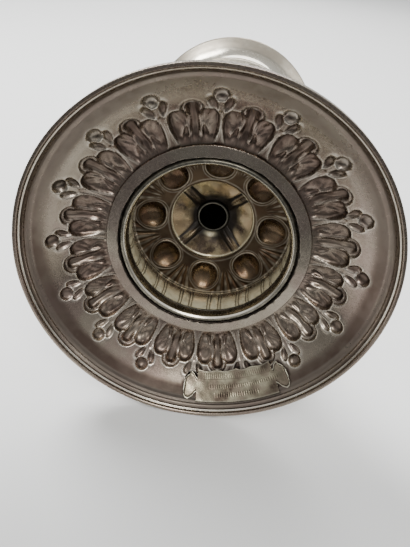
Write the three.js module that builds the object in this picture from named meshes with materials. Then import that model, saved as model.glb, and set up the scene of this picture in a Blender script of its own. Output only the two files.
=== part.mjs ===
import * as THREE from 'three';

// A silver chalice standing on its foot, in millimetres, +Z up.
// The origin is the centre of the circle that the foot stands on.
// Every piece is thin metal: the closed outline of its metal is turned about the upright axis,
// and chased work pushes both faces of the metal outwards together.

// Driving sizes: metal and soldered joints
const sheet = 1.0;
const joint = 0.3;

// Driving sizes: foot
const footRadius = 72.5;
const standWidth = 1.4;
const rimLipInset = 1.9;
const rimLipRise = 1.8;
const rimStepInset = 2.7;
const rimStepRise = 4.1;
const rimBandHeight = 3.4;
const cavettoWidth = 2.2;
const cavettoRise = 2.1;
const footRise = 23.2;
const groundBow = 1.9;
const openingRadius = 37.2;
const flangeWidth = 4.8;

// Driving sizes: chased wreath of leaves and buds on the foot's ground
const leafCount = 16;
const wreathTurnDegrees = -2;
const ribDepth = 2.9;
const lobeDepth = 2.2;
const budDepth = 2.1;

// Driving sizes: plaque under the foot
const plaqueDegrees = 69.5;
const plaqueLength = 48.0;
const plaqueInnerInset = 10.0;
const plaqueOuterInset = 1.0;
const plaqueSheet = 0.6;

// Driving sizes: collar and drum
const collarSheet = 0.8;
const drumRingWall = 3.3;
const drumRingDrop = 0.8;
const drumRingRise = 4.2;
const drumRingBulge = 2.4;
const drumRingBead = 1.1;
const drumFlare = 1.7;
const drumBandHeight = 16.5;
const ribGroupDegrees = 8.5;
const ribGroupBevelDegrees = 0.9;
const ribGroupRelief = 0.7;

// Driving sizes: dome of bosses
const bossCount = 8;
const domeRise = 3.6;
const domeInnerRadius = 18.8;
const bossRadius = 6.0;
const bossTopRadius = 3.6;
const bossDepth = 2.4;

// Driving sizes: stem
const flareLobes = 4;
const flareRise = 5.4;
const flareBow = 0.9;
const flareLobeDepth = 1.3;
const tubeRadius = 6.2;
const stemWaistWall = 1.5;
const stemRingWall = 3.8;
const stemRingHeight = 2.6;
const stemBaseSpread = 1.8;
const stemLowerHeight = 26;
const stemUpperHeight = 22;

// Driving sizes: knop
const knopRadius = 20;
const knopHeight = 25;
const knopGadroons = 16;
const gadroonDepth = 0.8;

// Driving sizes: cup
const cupHeight = 79;
const cupBellyRadius = 45.5;
const cupBellyRise = 46;
const cupBellySpread = 1.2;
const lipRadius = 57;
const lipFlareHeight = 18;
const lipBead = 0.6;
const lipBeadHeight = 1.2;

// Facets round the axis for each kind of piece
const columnsPerLobe = 6;
const columnsPerGadroon = 2;
const ringColumns = 40;
const stemColumns = 24;
const cupColumns = 36;

const fullTurn = 2 * Math.PI;
const radiansPerDegree = Math.PI / 180;

// Sizes that follow from the driving ones
const flangeRadius = openingRadius + flangeWidth;
const flangeTop = footRise + sheet;
const drumRingBottom = footRise - drumRingDrop;
const drumRingTop = flangeTop + drumRingRise;
const drumNeckRadius = openingRadius - joint;
const drumInnerRadius = drumNeckRadius - drumRingWall;
const drumTopRadius = drumInnerRadius + drumFlare;
const drumBandBottom = drumRingTop + joint;
const drumBandTop = drumBandBottom + drumBandHeight;
const domeBottom = drumBandTop + joint;
const domeOuterRadius = drumTopRadius + sheet;
const domeTop = domeBottom + domeRise + sheet;
const flareBottom = domeTop + joint;
const flareTop = flareBottom + flareRise;
const tubeOuterRadius = tubeRadius + sheet;
const stemRingRadius = tubeRadius + stemRingWall;
const stemWaistRadius = tubeRadius + stemWaistWall;
const stemLowerSeat = flareTop + sheet + joint;
const knopBottom = stemLowerSeat + stemLowerHeight + joint;
const knopTop = knopBottom + knopHeight;
const stemUpperBottom = knopTop + joint;
const cupBottom = stemUpperBottom + stemUpperHeight + joint;
const cupTop = cupBottom + cupHeight;

const silver = new THREE.MeshStandardMaterial({ color: 0xb4aaa0, roughness: 0.32, metalness: 1 });
const tarnishedSilver = new THREE.MeshStandardMaterial({ color: 0x8a7a6c, roughness: 0.42, metalness: 1 });
const wornGilt = new THREE.MeshStandardMaterial({ color: 0x9c875c, roughness: 0.38, metalness: 1 });

// Turns a closed outline of [radius, height] points, anticlockwise, about the upright axis.
// angleOf(column) sets the columns' angles, which are even without it.
// push(radius, angle, row) gives how far a point moves as [outwards, upwards].
// repeats is how often the chased work repeats, so that its facets mirror within each copy.
function turned(outline, columns, { angleOf, push, repeats } = {}) {
  const rows = outline.length;
  const points = [...outline, outline[0]].map(([radius, height]) => new THREE.Vector2(radius, height));
  const geometry = new THREE.LatheGeometry(points, columns);
  geometry.rotateX(Math.PI / 2);
  const position = geometry.attributes.position;
  for (let i = 0; i < position.count; i += 1) {
    const column = Math.floor(i / points.length) % columns;
    const row = i % points.length % rows;
    const [radius, height] = outline[row];
    const angle = angleOf ? angleOf(column) : column / columns * fullTurn - Math.PI / 2;
    const [out, up] = push ? push(radius, angle, row) : [0, 0];
    position.setXYZ(i, (radius + out) * Math.cos(angle), (radius + out) * Math.sin(angle), height + up);
  }
  if (repeats) {
    mirrorDiagonals(geometry, rows, columns, repeats);
  }
  geometry.computeVertexNormals();
  return geometry;
}

// Splits the facets in the second half of each repeat along their other diagonal
function mirrorDiagonals(geometry, rows, columns, repeats) {
  const index = geometry.index;
  const perRepeat = columns / repeats;
  const perQuad = 6;
  for (let column = 0; column < columns; column += 1) {
    if (column % perRepeat < perRepeat / 2) {
      continue;
    }
    for (let row = 0; row < rows; row += 1) {
      const start = (column * rows + row) * perQuad;
      const a = column * (rows + 1) + row;
      const b = a + rows + 1;
      [a, b, b + 1, a, b + 1, a + 1].forEach((corner, k) => index.setX(start + k, corner));
    }
  }
}

// Where an angle lies inside its repeat, from -0.5 to 0.5, with 0 at a copy's centre
function withinRepeat(angle, count, centreAngle) {
  const turn = (angle - centreAngle) / (fullTurn / count);
  return turn - Math.round(turn);
}

// Foot: the ground runs from the rim's step up to the flange and is a little convex outside
const stepRadius = footRadius - rimStepInset;
const groundOuterRadius = stepRadius - cavettoWidth;
const groundOuterRise = rimStepRise + cavettoRise;
const groundWidth = groundOuterRadius - flangeRadius;
const groundSlope = Math.atan2(footRise - groundOuterRise, groundWidth);
const outward = Math.sin(groundSlope);
const upward = Math.cos(groundSlope);

// Height of the ground's underside at a radius
function groundHeight(radius) {
  const share = (groundOuterRadius - radius) / groundWidth;
  return groundOuterRise + (footRise - groundOuterRise) * share + 4 * groundBow * share * (1 - share);
}

// Places on the ground, as shares of its width from the flange outwards
const lobeBase = 0.1;
const lobeShoulder = 0.44;
const lobeTip = 0.55;
const leafTip = 0.72;
const budTip = 0.86;
const wreathRows = [budTip, leafTip, lobeTip, lobeShoulder, lobeBase];

// Places round the foot, as shares of one leaf's turn from the leaf's middle
const ribEdge = 0.17;
const lobeEdge = 0.4;
const leafColumns = [0, ribEdge, lobeEdge, 0.5, 1 - lobeEdge, 1 - ribEdge];
const wreathTurn = wreathTurnDegrees * radiansPerDegree;
const firstLeaf = Math.PI / leafCount - Math.PI / 2 + wreathTurn;

// How far a value has come from one place to another, from 0 to 1
function ramp(value, from, to) {
  return Math.min(1, Math.max(0, (value - from) / (to - from)));
}

// The wreath's depth at a place: leaves of a rib and two side lobes, and buds between the leaves' tips
function wreathDepth(reach, angle) {
  const fromLeaf = Math.abs(withinRepeat(angle, leafCount, firstLeaf));
  const rib = ribDepth * ramp(fromLeaf, ribEdge, 0) * ramp(reach, leafTip, lobeTip);
  const lobe = lobeDepth * ramp(fromLeaf, 0.5, lobeEdge) * ramp(reach, lobeTip, lobeShoulder);
  const bud = budDepth * ramp(fromLeaf, lobeEdge, 0.5) * ramp(reach, lobeTip, leafTip) * ramp(reach, budTip, leafTip);
  return Math.max(rib, lobe, bud);
}

function footGeometry() {
  const under = wreathRows.map((reach) => {
    const radius = flangeRadius + groundWidth * reach;
    return [radius, groundHeight(radius)];
  });
  const over = under.map(([radius, height]) => [radius + sheet * outward, height + sheet * upward]);
  const rim = [
    [footRadius, 0],
    [footRadius, rimBandHeight],
    [stepRadius + sheet, rimStepRise + sheet],
  ];
  const flange = [
    [flangeRadius, flangeTop],
    [openingRadius, flangeTop],
    [openingRadius, footRise],
    [flangeRadius, footRise],
  ];
  const lip = [
    [groundOuterRadius, groundOuterRise],
    [stepRadius, rimStepRise],
    [footRadius - rimLipInset, rimLipRise],
    [footRadius - standWidth, 0],
  ];
  const firstOver = rim.length;
  const firstUnder = firstOver + over.length + flange.length;
  const reachOf = (row) => {
    const underReaches = wreathRows.toReversed();
    return wreathRows[row - firstOver] ?? underReaches[row - firstUnder];
  };
  const perLeaf = leafColumns.length;
  return turned([...rim, ...over, ...flange, ...under.toReversed(), ...lip], leafCount * perLeaf, {
    repeats: leafCount,
    angleOf: (column) => {
      const leaf = Math.floor(column / perLeaf);
      return firstLeaf + (leaf + leafColumns[column % perLeaf]) * fullTurn / leafCount;
    },
    push: (radius, angle, row) => {
      const reach = reachOf(row);
      const depth = reach === undefined ? 0 : wreathDepth(reach, angle);
      return [depth * outward, depth * upward];
    },
  });
}

// The plaque's half outline from its middle to its end: shares of its half length and half height
const plaqueStations = [[0, 1], [0.37, 1], [0.74, 1], [0.76, 0.5], [0.84, 0.72], [0.93, 0.62], [1, 0.3]];

// Plaque: a scroll-ended plate bent to the ground, a joint away from it
function plaqueGeometry() {
  const outer = stepRadius - plaqueOuterInset;
  const inner = groundOuterRadius - plaqueInnerInset;
  const middle = (outer + inner) / 2;
  const halfTurn = plaqueLength / 2 / middle;
  const half = plaqueStations.slice(1);
  const stations = [...half.toReversed().map(([along, wide]) => [-along, wide]), ...plaqueStations];
  const place = (along, wide, side, drop) => {
    const radius = middle + (outer - inner) / 2 * wide * side;
    const angle = plaqueDegrees * radiansPerDegree + halfTurn * along;
    const held = radius - (joint + drop) * outward;
    return [held * Math.cos(angle), held * Math.sin(angle), groundHeight(radius) - (joint + drop) * upward];
  };
  const sides = [-1, 0, 1];
  const positions = stations.flatMap(([along, wide]) => [
    ...sides.flatMap((side) => place(along, wide, side, 0)),
    ...sides.toReversed().flatMap((side) => place(along, wide, side, plaqueSheet)),
  ]);
  const loop = sides.length * 2;
  const faces = [];
  for (let station = 0; station < stations.length - 1; station += 1) {
    for (let k = 0; k < loop; k += 1) {
      const a = station * loop + k;
      const b = station * loop + (k + 1) % loop;
      faces.push(a, b, a + loop, b, b + loop, a + loop);
    }
  }
  const last = (stations.length - 1) * loop;
  for (let k = 1; k < loop - 1; k += 1) {
    faces.push(0, k + 1, k, last, last + k, last + k + 1);
  }
  const geometry = new THREE.BufferGeometry();
  geometry.setAttribute('position', new THREE.Float32BufferAttribute(positions, 3));
  geometry.setIndex(faces);
  geometry.computeVertexNormals();
  return geometry;
}

// Collar: a flat ring under the flange, its outer edge bevelled over half its sheet
function collarGeometry() {
  const top = footRise - joint;
  const bottom = top - collarSheet;
  return turned([
    [flangeRadius - collarSheet / 2, bottom],
    [flangeRadius, top],
    [openingRadius, top],
    [openingRadius, bottom],
  ], ringColumns);
}

// Drum ring: a bead that stands in the foot's opening and spreads to a round moulding on the flange
function drumRingGeometry() {
  const seat = flangeTop + joint;
  return turned([
    [drumInnerRadius + drumRingBead, drumRingBottom],
    [drumNeckRadius - drumRingBead, drumRingBottom],
    [drumNeckRadius, drumRingBottom + drumRingBead],
    [drumNeckRadius, seat],
    [drumNeckRadius + drumRingBulge, seat + (drumRingTop - seat) / 3],
    [drumNeckRadius, drumRingTop],
    [drumInnerRadius, drumRingTop],
    [drumInnerRadius, drumRingBottom + drumRingBead],
  ], ringColumns);
}

// Drum band: plain panels between raised groups of ribs, a little wider at its top
function drumBandGeometry() {
  const pitch = fullTurn / leafCount;
  const flat = ribGroupDegrees / 2 * radiansPerDegree;
  const foot = flat + ribGroupBevelDegrees * radiansPerDegree;
  const edges = [-foot, -flat, flat, foot];
  return turned([
    [drumInnerRadius + sheet, drumBandBottom],
    [drumTopRadius + sheet, drumBandTop],
    [drumTopRadius, drumBandTop],
    [drumInnerRadius, drumBandBottom],
  ], leafCount * edges.length, {
    angleOf: (column) => {
      const group = Math.floor(column / edges.length);
      return (group + 0.5) * pitch - Math.PI / 2 + edges[column % edges.length];
    },
    push: (radius, angle) => {
      const raised = Math.abs(withinRepeat(angle, leafCount, pitch / 2 - Math.PI / 2)) * pitch < (flat + foot) / 2;
      return [raised ? ribGroupRelief : 0, 0];
    },
  });
}

// Dome: a shallow cone from the drum up to the stem's base, with a ring of round flat-topped bosses
function domeGeometry() {
  const middle = (domeOuterRadius + domeInnerRadius) / 2;
  const radii = [
    domeOuterRadius,
    middle + bossRadius,
    middle + bossTopRadius,
    middle - bossTopRadius,
    middle - bossRadius,
    domeInnerRadius,
  ];
  const height = (radius) => domeBottom + domeRise * (domeOuterRadius - radius) / (domeOuterRadius - domeInnerRadius);
  const under = radii.map((radius) => [radius, height(radius)]);
  const over = radii.map((radius) => [radius, height(radius) + sheet]);
  const pitch = fullTurn / bossCount;
  const edge = bossRadius / middle;
  const topEdge = bossTopRadius / middle;
  const steps = [0, topEdge, edge, pitch / 2, pitch - edge, pitch - topEdge];
  return turned([...over, ...under.toReversed()], bossCount * steps.length, {
    repeats: bossCount,
    angleOf: (column) => Math.floor(column / steps.length) * pitch - Math.PI / 2 + steps[column % steps.length],
    push: (radius, angle) => {
      const aside = withinRepeat(angle, bossCount, Math.PI / 2) * pitch * middle;
      return [0, bossDepth * ramp(Math.hypot(aside, radius - middle), bossRadius, bossTopRadius)];
    },
  });
}

// Rows of the flare, as shares of its width from the stem's tube outwards
const flareRows = [1, 0.68, 0.34, 0];

// Flare: hollow lobes between narrow spokes, rising to the stem's tube
function flareGeometry() {
  const inner = tubeOuterRadius + joint;
  const outer = domeInnerRadius + sheet;
  const under = flareRows.map((share) => {
    const rise = flareRise * (1 - share) - 4 * flareBow * share * (1 - share);
    return [inner + (outer - inner) * share, flareBottom + rise];
  });
  const over = under.map(([radius, height]) => [radius, height + sheet]);
  return turned([...over, ...under.toReversed()], flareLobes * columnsPerLobe, {
    repeats: flareLobes,
    push: (radius, angle) => {
      const share = (radius - inner) / (outer - inner);
      const fromSpoke = 0.5 - Math.abs(withinRepeat(angle, flareLobes, Math.PI / 2));
      const lobe = Math.min(1, fromSpoke * columnsPerLobe);
      return [0, flareLobeDepth * lobe * 4 * share * (1 - share)];
    },
  });
}

// Where a stem piece's waist starts and ends, as shares of its height
const waistStart = 0.4;
const waistEnd = 0.65;

// Stem piece: a tube with a base, a waist and a ring at its top
function stemOutline(seat, top, baseRadius, tail) {
  const waistBottom = seat + (top - seat) * waistStart;
  const waistTop = seat + (top - seat) * waistEnd;
  return [
    ...tail,
    [baseRadius, seat],
    [baseRadius, seat + stemRingHeight],
    [stemWaistRadius, waistBottom],
    [stemWaistRadius, waistTop],
    [stemRingRadius, top - stemRingHeight],
    [stemRingRadius, top],
    [tubeRadius, top],
    [tubeRadius, tail.length ? tail[0][1] : seat],
  ];
}

// Lower stem: its tube's end reaches down through the flare and shows under the foot
function stemLowerGeometry() {
  const tail = [[tubeOuterRadius, flareTop - sheet], [tubeOuterRadius, stemLowerSeat]];
  const top = stemLowerSeat + stemLowerHeight;
  return turned(stemOutline(stemLowerSeat, top, stemRingRadius + stemBaseSpread, tail), stemColumns);
}

function stemUpperGeometry() {
  const top = stemUpperBottom + stemUpperHeight;
  return turned(stemOutline(stemUpperBottom, top, stemRingRadius, []), stemColumns);
}

// How far up a quarter turn the knop's shoulder lies
const knopShoulder = 0.6;

// Knop: a hollow flattened ball with gadroons round its girdle
function knopGeometry() {
  const middle = knopBottom + knopHeight / 2;
  const quarter = Math.PI / 2;
  const ball = (radius, neck, half, angles) => angles.map((angle) => (
    [neck + (radius - neck) * Math.cos(angle), middle + half * Math.sin(angle)]
  ));
  const outerAngles = [-1, -knopShoulder, 0, knopShoulder, 1].map((share) => share * quarter);
  const outside = ball(knopRadius, stemRingRadius, knopHeight / 2, outerAngles);
  const inside = ball(knopRadius - sheet, stemRingRadius - sheet, knopHeight / 2 - sheet, [quarter, 0, -quarter]);
  const outline = [
    ...outside,
    [tubeOuterRadius, knopTop],
    [tubeOuterRadius, knopTop - sheet],
    ...inside,
    [tubeOuterRadius, knopBottom + sheet],
    [tubeOuterRadius, knopBottom],
  ];
  return turned(outline, knopGadroons * columnsPerGadroon, {
    push: (radius, angle, row) => {
      const chased = row > 0 && row < outside.length - 1;
      const crest = Math.abs(withinRepeat(angle, knopGadroons, Math.PI / 2)) < 1 / (2 * columnsPerGadroon);
      return [chased && crest ? gadroonDepth : 0, 0];
    },
  });
}

// Rows of the cup's bowl, as shares of a quarter turn, and how far its lip has spread half way up
const bowlRows = [0.25, 0.5, 0.75, 1];
const lipSpreadHalfWay = 0.25;

// Cup: a hollow bell with a spreading lip that ends in a flat-topped bead
function cupGeometry() {
  const flareStart = cupTop - lipFlareHeight;
  const bellyTop = cupBottom + cupBellyRise;
  const bowl = (radius, floor, rows) => rows.map((share) => {
    const angle = share * Math.PI / 2;
    const base = stemRingRadius;
    return [base + (radius - base) * Math.sin(angle), bellyTop - (bellyTop - floor) * Math.cos(angle)];
  });
  const neckRadius = cupBellyRadius + cupBellySpread;
  const flareMiddle = neckRadius + (lipRadius - neckRadius) * lipSpreadHalfWay;
  const flareMiddleHeight = flareStart + lipFlareHeight / 2;
  return turned([
    [0, cupBottom],
    [stemRingRadius, cupBottom],
    ...bowl(cupBellyRadius, cupBottom + sheet, bowlRows),
    [neckRadius, flareStart],
    [flareMiddle, flareMiddleHeight],
    [lipRadius, cupTop - lipBeadHeight],
    [lipRadius, cupTop],
    [lipRadius - sheet - lipBead, cupTop],
    [flareMiddle - sheet, flareMiddleHeight],
    [neckRadius - sheet, flareStart],
    ...bowl(cupBellyRadius - sheet, cupBottom + 2 * sheet, bowlRows.toReversed()),
    [0, cupBottom + 2 * sheet],
  ], cupColumns);
}

const chalice = new THREE.Group();

function add(name, geometry, material) {
  const mesh = new THREE.Mesh(geometry, material);
  mesh.name = name;
  chalice.add(mesh);
}

add('foot', footGeometry(), tarnishedSilver);
add('maker_plaque', plaqueGeometry(), silver);
add('foot_collar', collarGeometry(), tarnishedSilver);
add('drum_ring', drumRingGeometry(), silver);
add('drum_band', drumBandGeometry(), wornGilt);
add('boss_dome', domeGeometry(), wornGilt);
add('stem_flare', flareGeometry(), wornGilt);
add('stem_lower', stemLowerGeometry(), silver);
add('knop', knopGeometry(), silver);
add('stem_upper', stemUpperGeometry(), silver);
add('cup', cupGeometry(), silver);

export default chalice;
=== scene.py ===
"""A tarnished silver chalice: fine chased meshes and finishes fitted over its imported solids."""

import logging
import math
from collections.abc import Sequence
from dataclasses import dataclass
from enum import Enum

import bpy
import numpy as np
from mathutils import Matrix, Vector


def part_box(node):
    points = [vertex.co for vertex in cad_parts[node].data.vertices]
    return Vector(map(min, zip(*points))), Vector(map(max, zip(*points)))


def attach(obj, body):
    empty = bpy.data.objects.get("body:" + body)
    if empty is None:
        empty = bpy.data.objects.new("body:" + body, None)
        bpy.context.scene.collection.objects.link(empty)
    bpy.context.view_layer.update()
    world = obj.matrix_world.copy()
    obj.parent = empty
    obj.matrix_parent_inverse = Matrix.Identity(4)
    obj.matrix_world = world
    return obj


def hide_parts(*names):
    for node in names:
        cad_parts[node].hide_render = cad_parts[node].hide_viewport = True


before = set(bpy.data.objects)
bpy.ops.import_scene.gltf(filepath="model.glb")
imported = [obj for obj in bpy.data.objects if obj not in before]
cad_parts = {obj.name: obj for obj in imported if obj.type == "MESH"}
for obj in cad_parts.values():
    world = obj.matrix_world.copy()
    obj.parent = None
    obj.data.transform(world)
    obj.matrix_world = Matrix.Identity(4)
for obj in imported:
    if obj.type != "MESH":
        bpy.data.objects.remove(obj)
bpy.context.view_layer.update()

MM = 0.001
FULL_TURN = 2 * math.pi
BODY = "root"
SEED = 1874
RIPPLE_WAVES = 14
FILLET_POINTS = 5
# The foot's opening, and the angle about the axis that is at the bottom of the photo.
OPENING_RADIUS = 37.2 * MM
IMAGE_BOTTOM = math.pi / 2

Field = np.ndarray | float
Colour = tuple[float, float, float]

log = logging.getLogger("chalice")


class Slot(Enum):
    """The record's material slots."""

    TARNISHED = "tarnished_silver"
    PLATE = "plate_silver"
    BRIGHT = "bright_silver"
    WORN_GILT = "worn_gilt"
    BROWN_GILT = "brown_gilt"
    CUP = "cup_silver"


class Mark(Enum):
    """The values that a mesh carries for its finish to read."""

    # The film mark brings deep tarnish and some painted shade, the wear mark rubbed metal and painted
    # highlights, and the grime mark dirt and painted shade.
    FILM = "film"
    WEAR_AND_HIGHLIGHT = "worn"
    GRIME_AND_SHADE = "grime"


@dataclass(frozen=True)
class Span:
    """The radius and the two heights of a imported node."""

    radius: float
    bottom: float
    top: float

    @classmethod
    def of(cls, node: str) -> "Span":
        """Reads a node's box.

        Args:
            node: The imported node's name.

        Returns:
            The span of that node.
        """
        low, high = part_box(node)
        return cls(radius=high.x, bottom=low.z, top=high.z)

    @property
    def height(self) -> float:
        """The distance between the two heights."""
        return self.top - self.bottom


def swell(t: Field) -> Field:
    """A smooth swelling that is 1 at 0 and falls to 0 at 1 and beyond."""
    return 0.5 + 0.5 * np.cos(np.pi * np.clip(np.abs(t), 0.0, 1.0))


def ease(t: Field) -> Field:
    """A smooth step that rises from 0 at 0 to 1 at 1."""
    t = np.clip(t, 0.0, 1.0)
    return t * t * (3.0 - 2.0 * t)


def pressed(inside: np.ndarray, wall: Field) -> np.ndarray:
    """The rounded rise of a punched hollow.

    Args:
        inside: Distance inside the hollow's outline, negative outside it.
        wall: Distance over which the hollow reaches its full depth.

    Returns:
        Shares of the full depth, 0 on and outside the outline.
    """
    t = np.clip(inside / wall, 0.0, 1.0)
    return np.sqrt(1.0 - (1.0 - t) ** 2)


def line(distance: Field, half_width: float) -> Field:
    """The cross-section of a fine chased line at a distance from its middle."""
    return np.exp(-((distance / half_width) ** 2))


def columns_round(count: int) -> np.ndarray:
    """The angles of evenly spaced columns round the axis, in radians."""
    return np.arange(count) / count * FULL_TURN


def within_repeat(angle: np.ndarray, count: int, centre: float) -> np.ndarray:
    """Where angles lie inside their repeat.

    Args:
        angle: Angles about the axis, in radians.
        count: Number of copies round the axis.
        centre: Angle of the first copy's middle.

    Returns:
        Shares from -0.5 to 0.5, with 0 at a copy's middle.
    """
    turn = (angle - centre) / (FULL_TURN / count)
    return turn - np.round(turn)


def ripple(
    angle: np.ndarray, along: Field, seed: int, turns: tuple[int, int] = (1, 12), rate: float = 0.35,
) -> np.ndarray:
    """A seeded unevenness round the axis, such as a hammered sheet has.

    Args:
        angle: Angles about the axis, in radians.
        along: Distances along the section, in metres.
        seed: Seed of the draws.
        turns: Fewest and most waves in one turn.
        rate: Largest change of phase along the section, in radians for each millimetre.

    Returns:
        Values of about -1 to 1.
    """
    draw = np.random.default_rng(SEED + seed)
    total = np.zeros(np.broadcast(angle, along).shape)
    for _ in range(RIPPLE_WAVES):
        waves = draw.integers(*turns) * angle
        total = total + np.sin(waves + along / MM * draw.uniform(-rate, rate) + draw.uniform(0, FULL_TURN))
    return total / math.sqrt(RIPPLE_WAVES)


def rounded(corners: Sequence[tuple[float, float, float]], step: float, closed: bool = True) -> np.ndarray:
    """Rounds the corners of an outline and divides its long sides.

    Args:
        corners: Radius, height and rounding of each corner, in metres.
        step: Longest side that is left undivided.
        closed: Whether the last corner joins the first.

    Returns:
        Points of the outline, one row each of radius and height.
    """
    count = len(corners)
    laid: list[np.ndarray] = []
    for i, (radius, height, fillet) in enumerate(corners):
        here = np.array([radius, height])
        if fillet <= 0 or (not closed and i in (0, count - 1)):
            laid.append(here)
            continue
        back = np.array(corners[i - 1][:2]) - here
        on = np.array(corners[(i + 1) % count][:2]) - here
        back_length, on_length = np.linalg.norm(back), np.linalg.norm(on)
        back, on = back / back_length, on / on_length
        half = 0.5 * math.acos(float(np.clip(back @ on, -1.0, 1.0)))
        reach = min(fillet / math.tan(half), 0.48 * back_length, 0.48 * on_length)
        for t in np.linspace(0.0, 1.0, FILLET_POINTS):
            laid.append(here + back * reach * (1 - t) ** 2 + on * reach * t ** 2)
    points = [laid[0]]
    ends = laid[1:] + ([laid[0]] if closed else [])
    for end in ends:
        start = points[-1]
        parts = max(1, math.ceil(np.linalg.norm(end - start) / step))
        for k in range(1, parts + 1):
            points.append(start + (end - start) * k / parts)
    return np.array(points[:-1] if closed else points)


def mesh_piece(
    name: str, points: np.ndarray, faces: Sequence[Sequence[int]], marks: dict[Mark, np.ndarray],
) -> bpy.types.Object:
    """Makes a smooth mesh and links it to the scene.

    Args:
        name: The piece's name.
        points: Its points, one row each.
        faces: The corners of each face.
        marks: Values for the finish, one for each point.

    Returns:
        The piece.
    """
    data = bpy.data.meshes.new(name)
    data.from_pydata(points.tolist(), [], faces)
    data.polygons.foreach_set("use_smooth", np.ones(len(data.polygons), bool))
    for mark, values in marks.items():
        attribute = data.attributes.new(mark.value, "FLOAT", "POINT")
        attribute.data.foreach_set("value", values.astype(np.float32))
    data.update()
    piece = bpy.data.objects.new(name, data)
    bpy.context.scene.collection.objects.link(piece)
    return piece


class Skin:
    """A closed metal skin that is laid ring by ring round the axis."""

    def __init__(self, name: str) -> None:
        """Starts a skin.

        Args:
            name: The piece's name.
        """
        self.name = name
        self.rings: list[np.ndarray] = []
        self.marks: dict[Mark, list[np.ndarray]] = {mark: [] for mark in Mark}

    def ring(
        self,
        radius: Field,
        height: Field,
        angle: np.ndarray,
        **marks: Field,
    ) -> None:
        """Adds a ring of points.

        Args:
            radius: Radius of each point.
            height: Height of each point.
            angle: Angle of each point, which sets their number.
            **marks: Values for the finish, by the marks' names in lower case.
        """
        radius, height, angle = np.broadcast_arrays(radius, height, angle)
        self.rings.append(np.column_stack([radius * np.cos(angle), radius * np.sin(angle), height]))
        for mark in Mark:
            self.marks[mark].append(np.broadcast_to(marks.get(mark.value, 0.0), angle.shape))

    def pole(self, height: float) -> None:
        """Adds a single point on the axis, which closes the skin there."""
        self.ring(0.0, height, np.zeros(1))

    def faces(self) -> list[tuple[int, ...]]:
        """Joins each ring to the next, and the last to the first unless both are poles.

        Returns:
            The corners of each face.
        """
        starts = np.cumsum([0] + [len(ring) for ring in self.rings])
        found: list[tuple[int, ...]] = []
        open_ended = len(self.rings[0]) == 1 and len(self.rings[-1]) == 1
        for i in range(len(self.rings) - (1 if open_ended else 0)):
            k = (i + 1) % len(self.rings)
            a, b, n, m = starts[i], starts[k], len(self.rings[i]), len(self.rings[k])
            j = np.arange(max(n, m))
            on = (j + 1) % max(n, m)
            if n == m:
                quads = np.column_stack([a + j, a + on, b + on, b + j])
            elif m == 1:
                quads = np.column_stack([a + j, a + on, np.full(n, b)])
            elif n == 1:
                quads = np.column_stack([np.full(m, a), b + on, b + j])
            elif n == 2 * m:
                c = np.arange(m)
                d = (c + 1) % m
                quads = np.column_stack([a + 2 * c, a + 2 * c + 1, a + (2 * c + 2) % n, b + d, b + c])
            else:
                c = np.arange(n)
                d = (c + 1) % n
                quads = np.column_stack([a + c, a + d, b + (2 * c + 2) % m, b + 2 * c + 1, b + 2 * c])
            found.extend(map(tuple, quads.tolist()))
        return found

    def build(self) -> bpy.types.Object:
        """Makes the skin's object.

        Returns:
            The object, smooth and with its marks as attributes.
        """
        marks = {mark: np.concatenate(values) for mark, values in self.marks.items()}
        return mesh_piece(self.name, np.concatenate(self.rings), self.faces(), marks)


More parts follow.
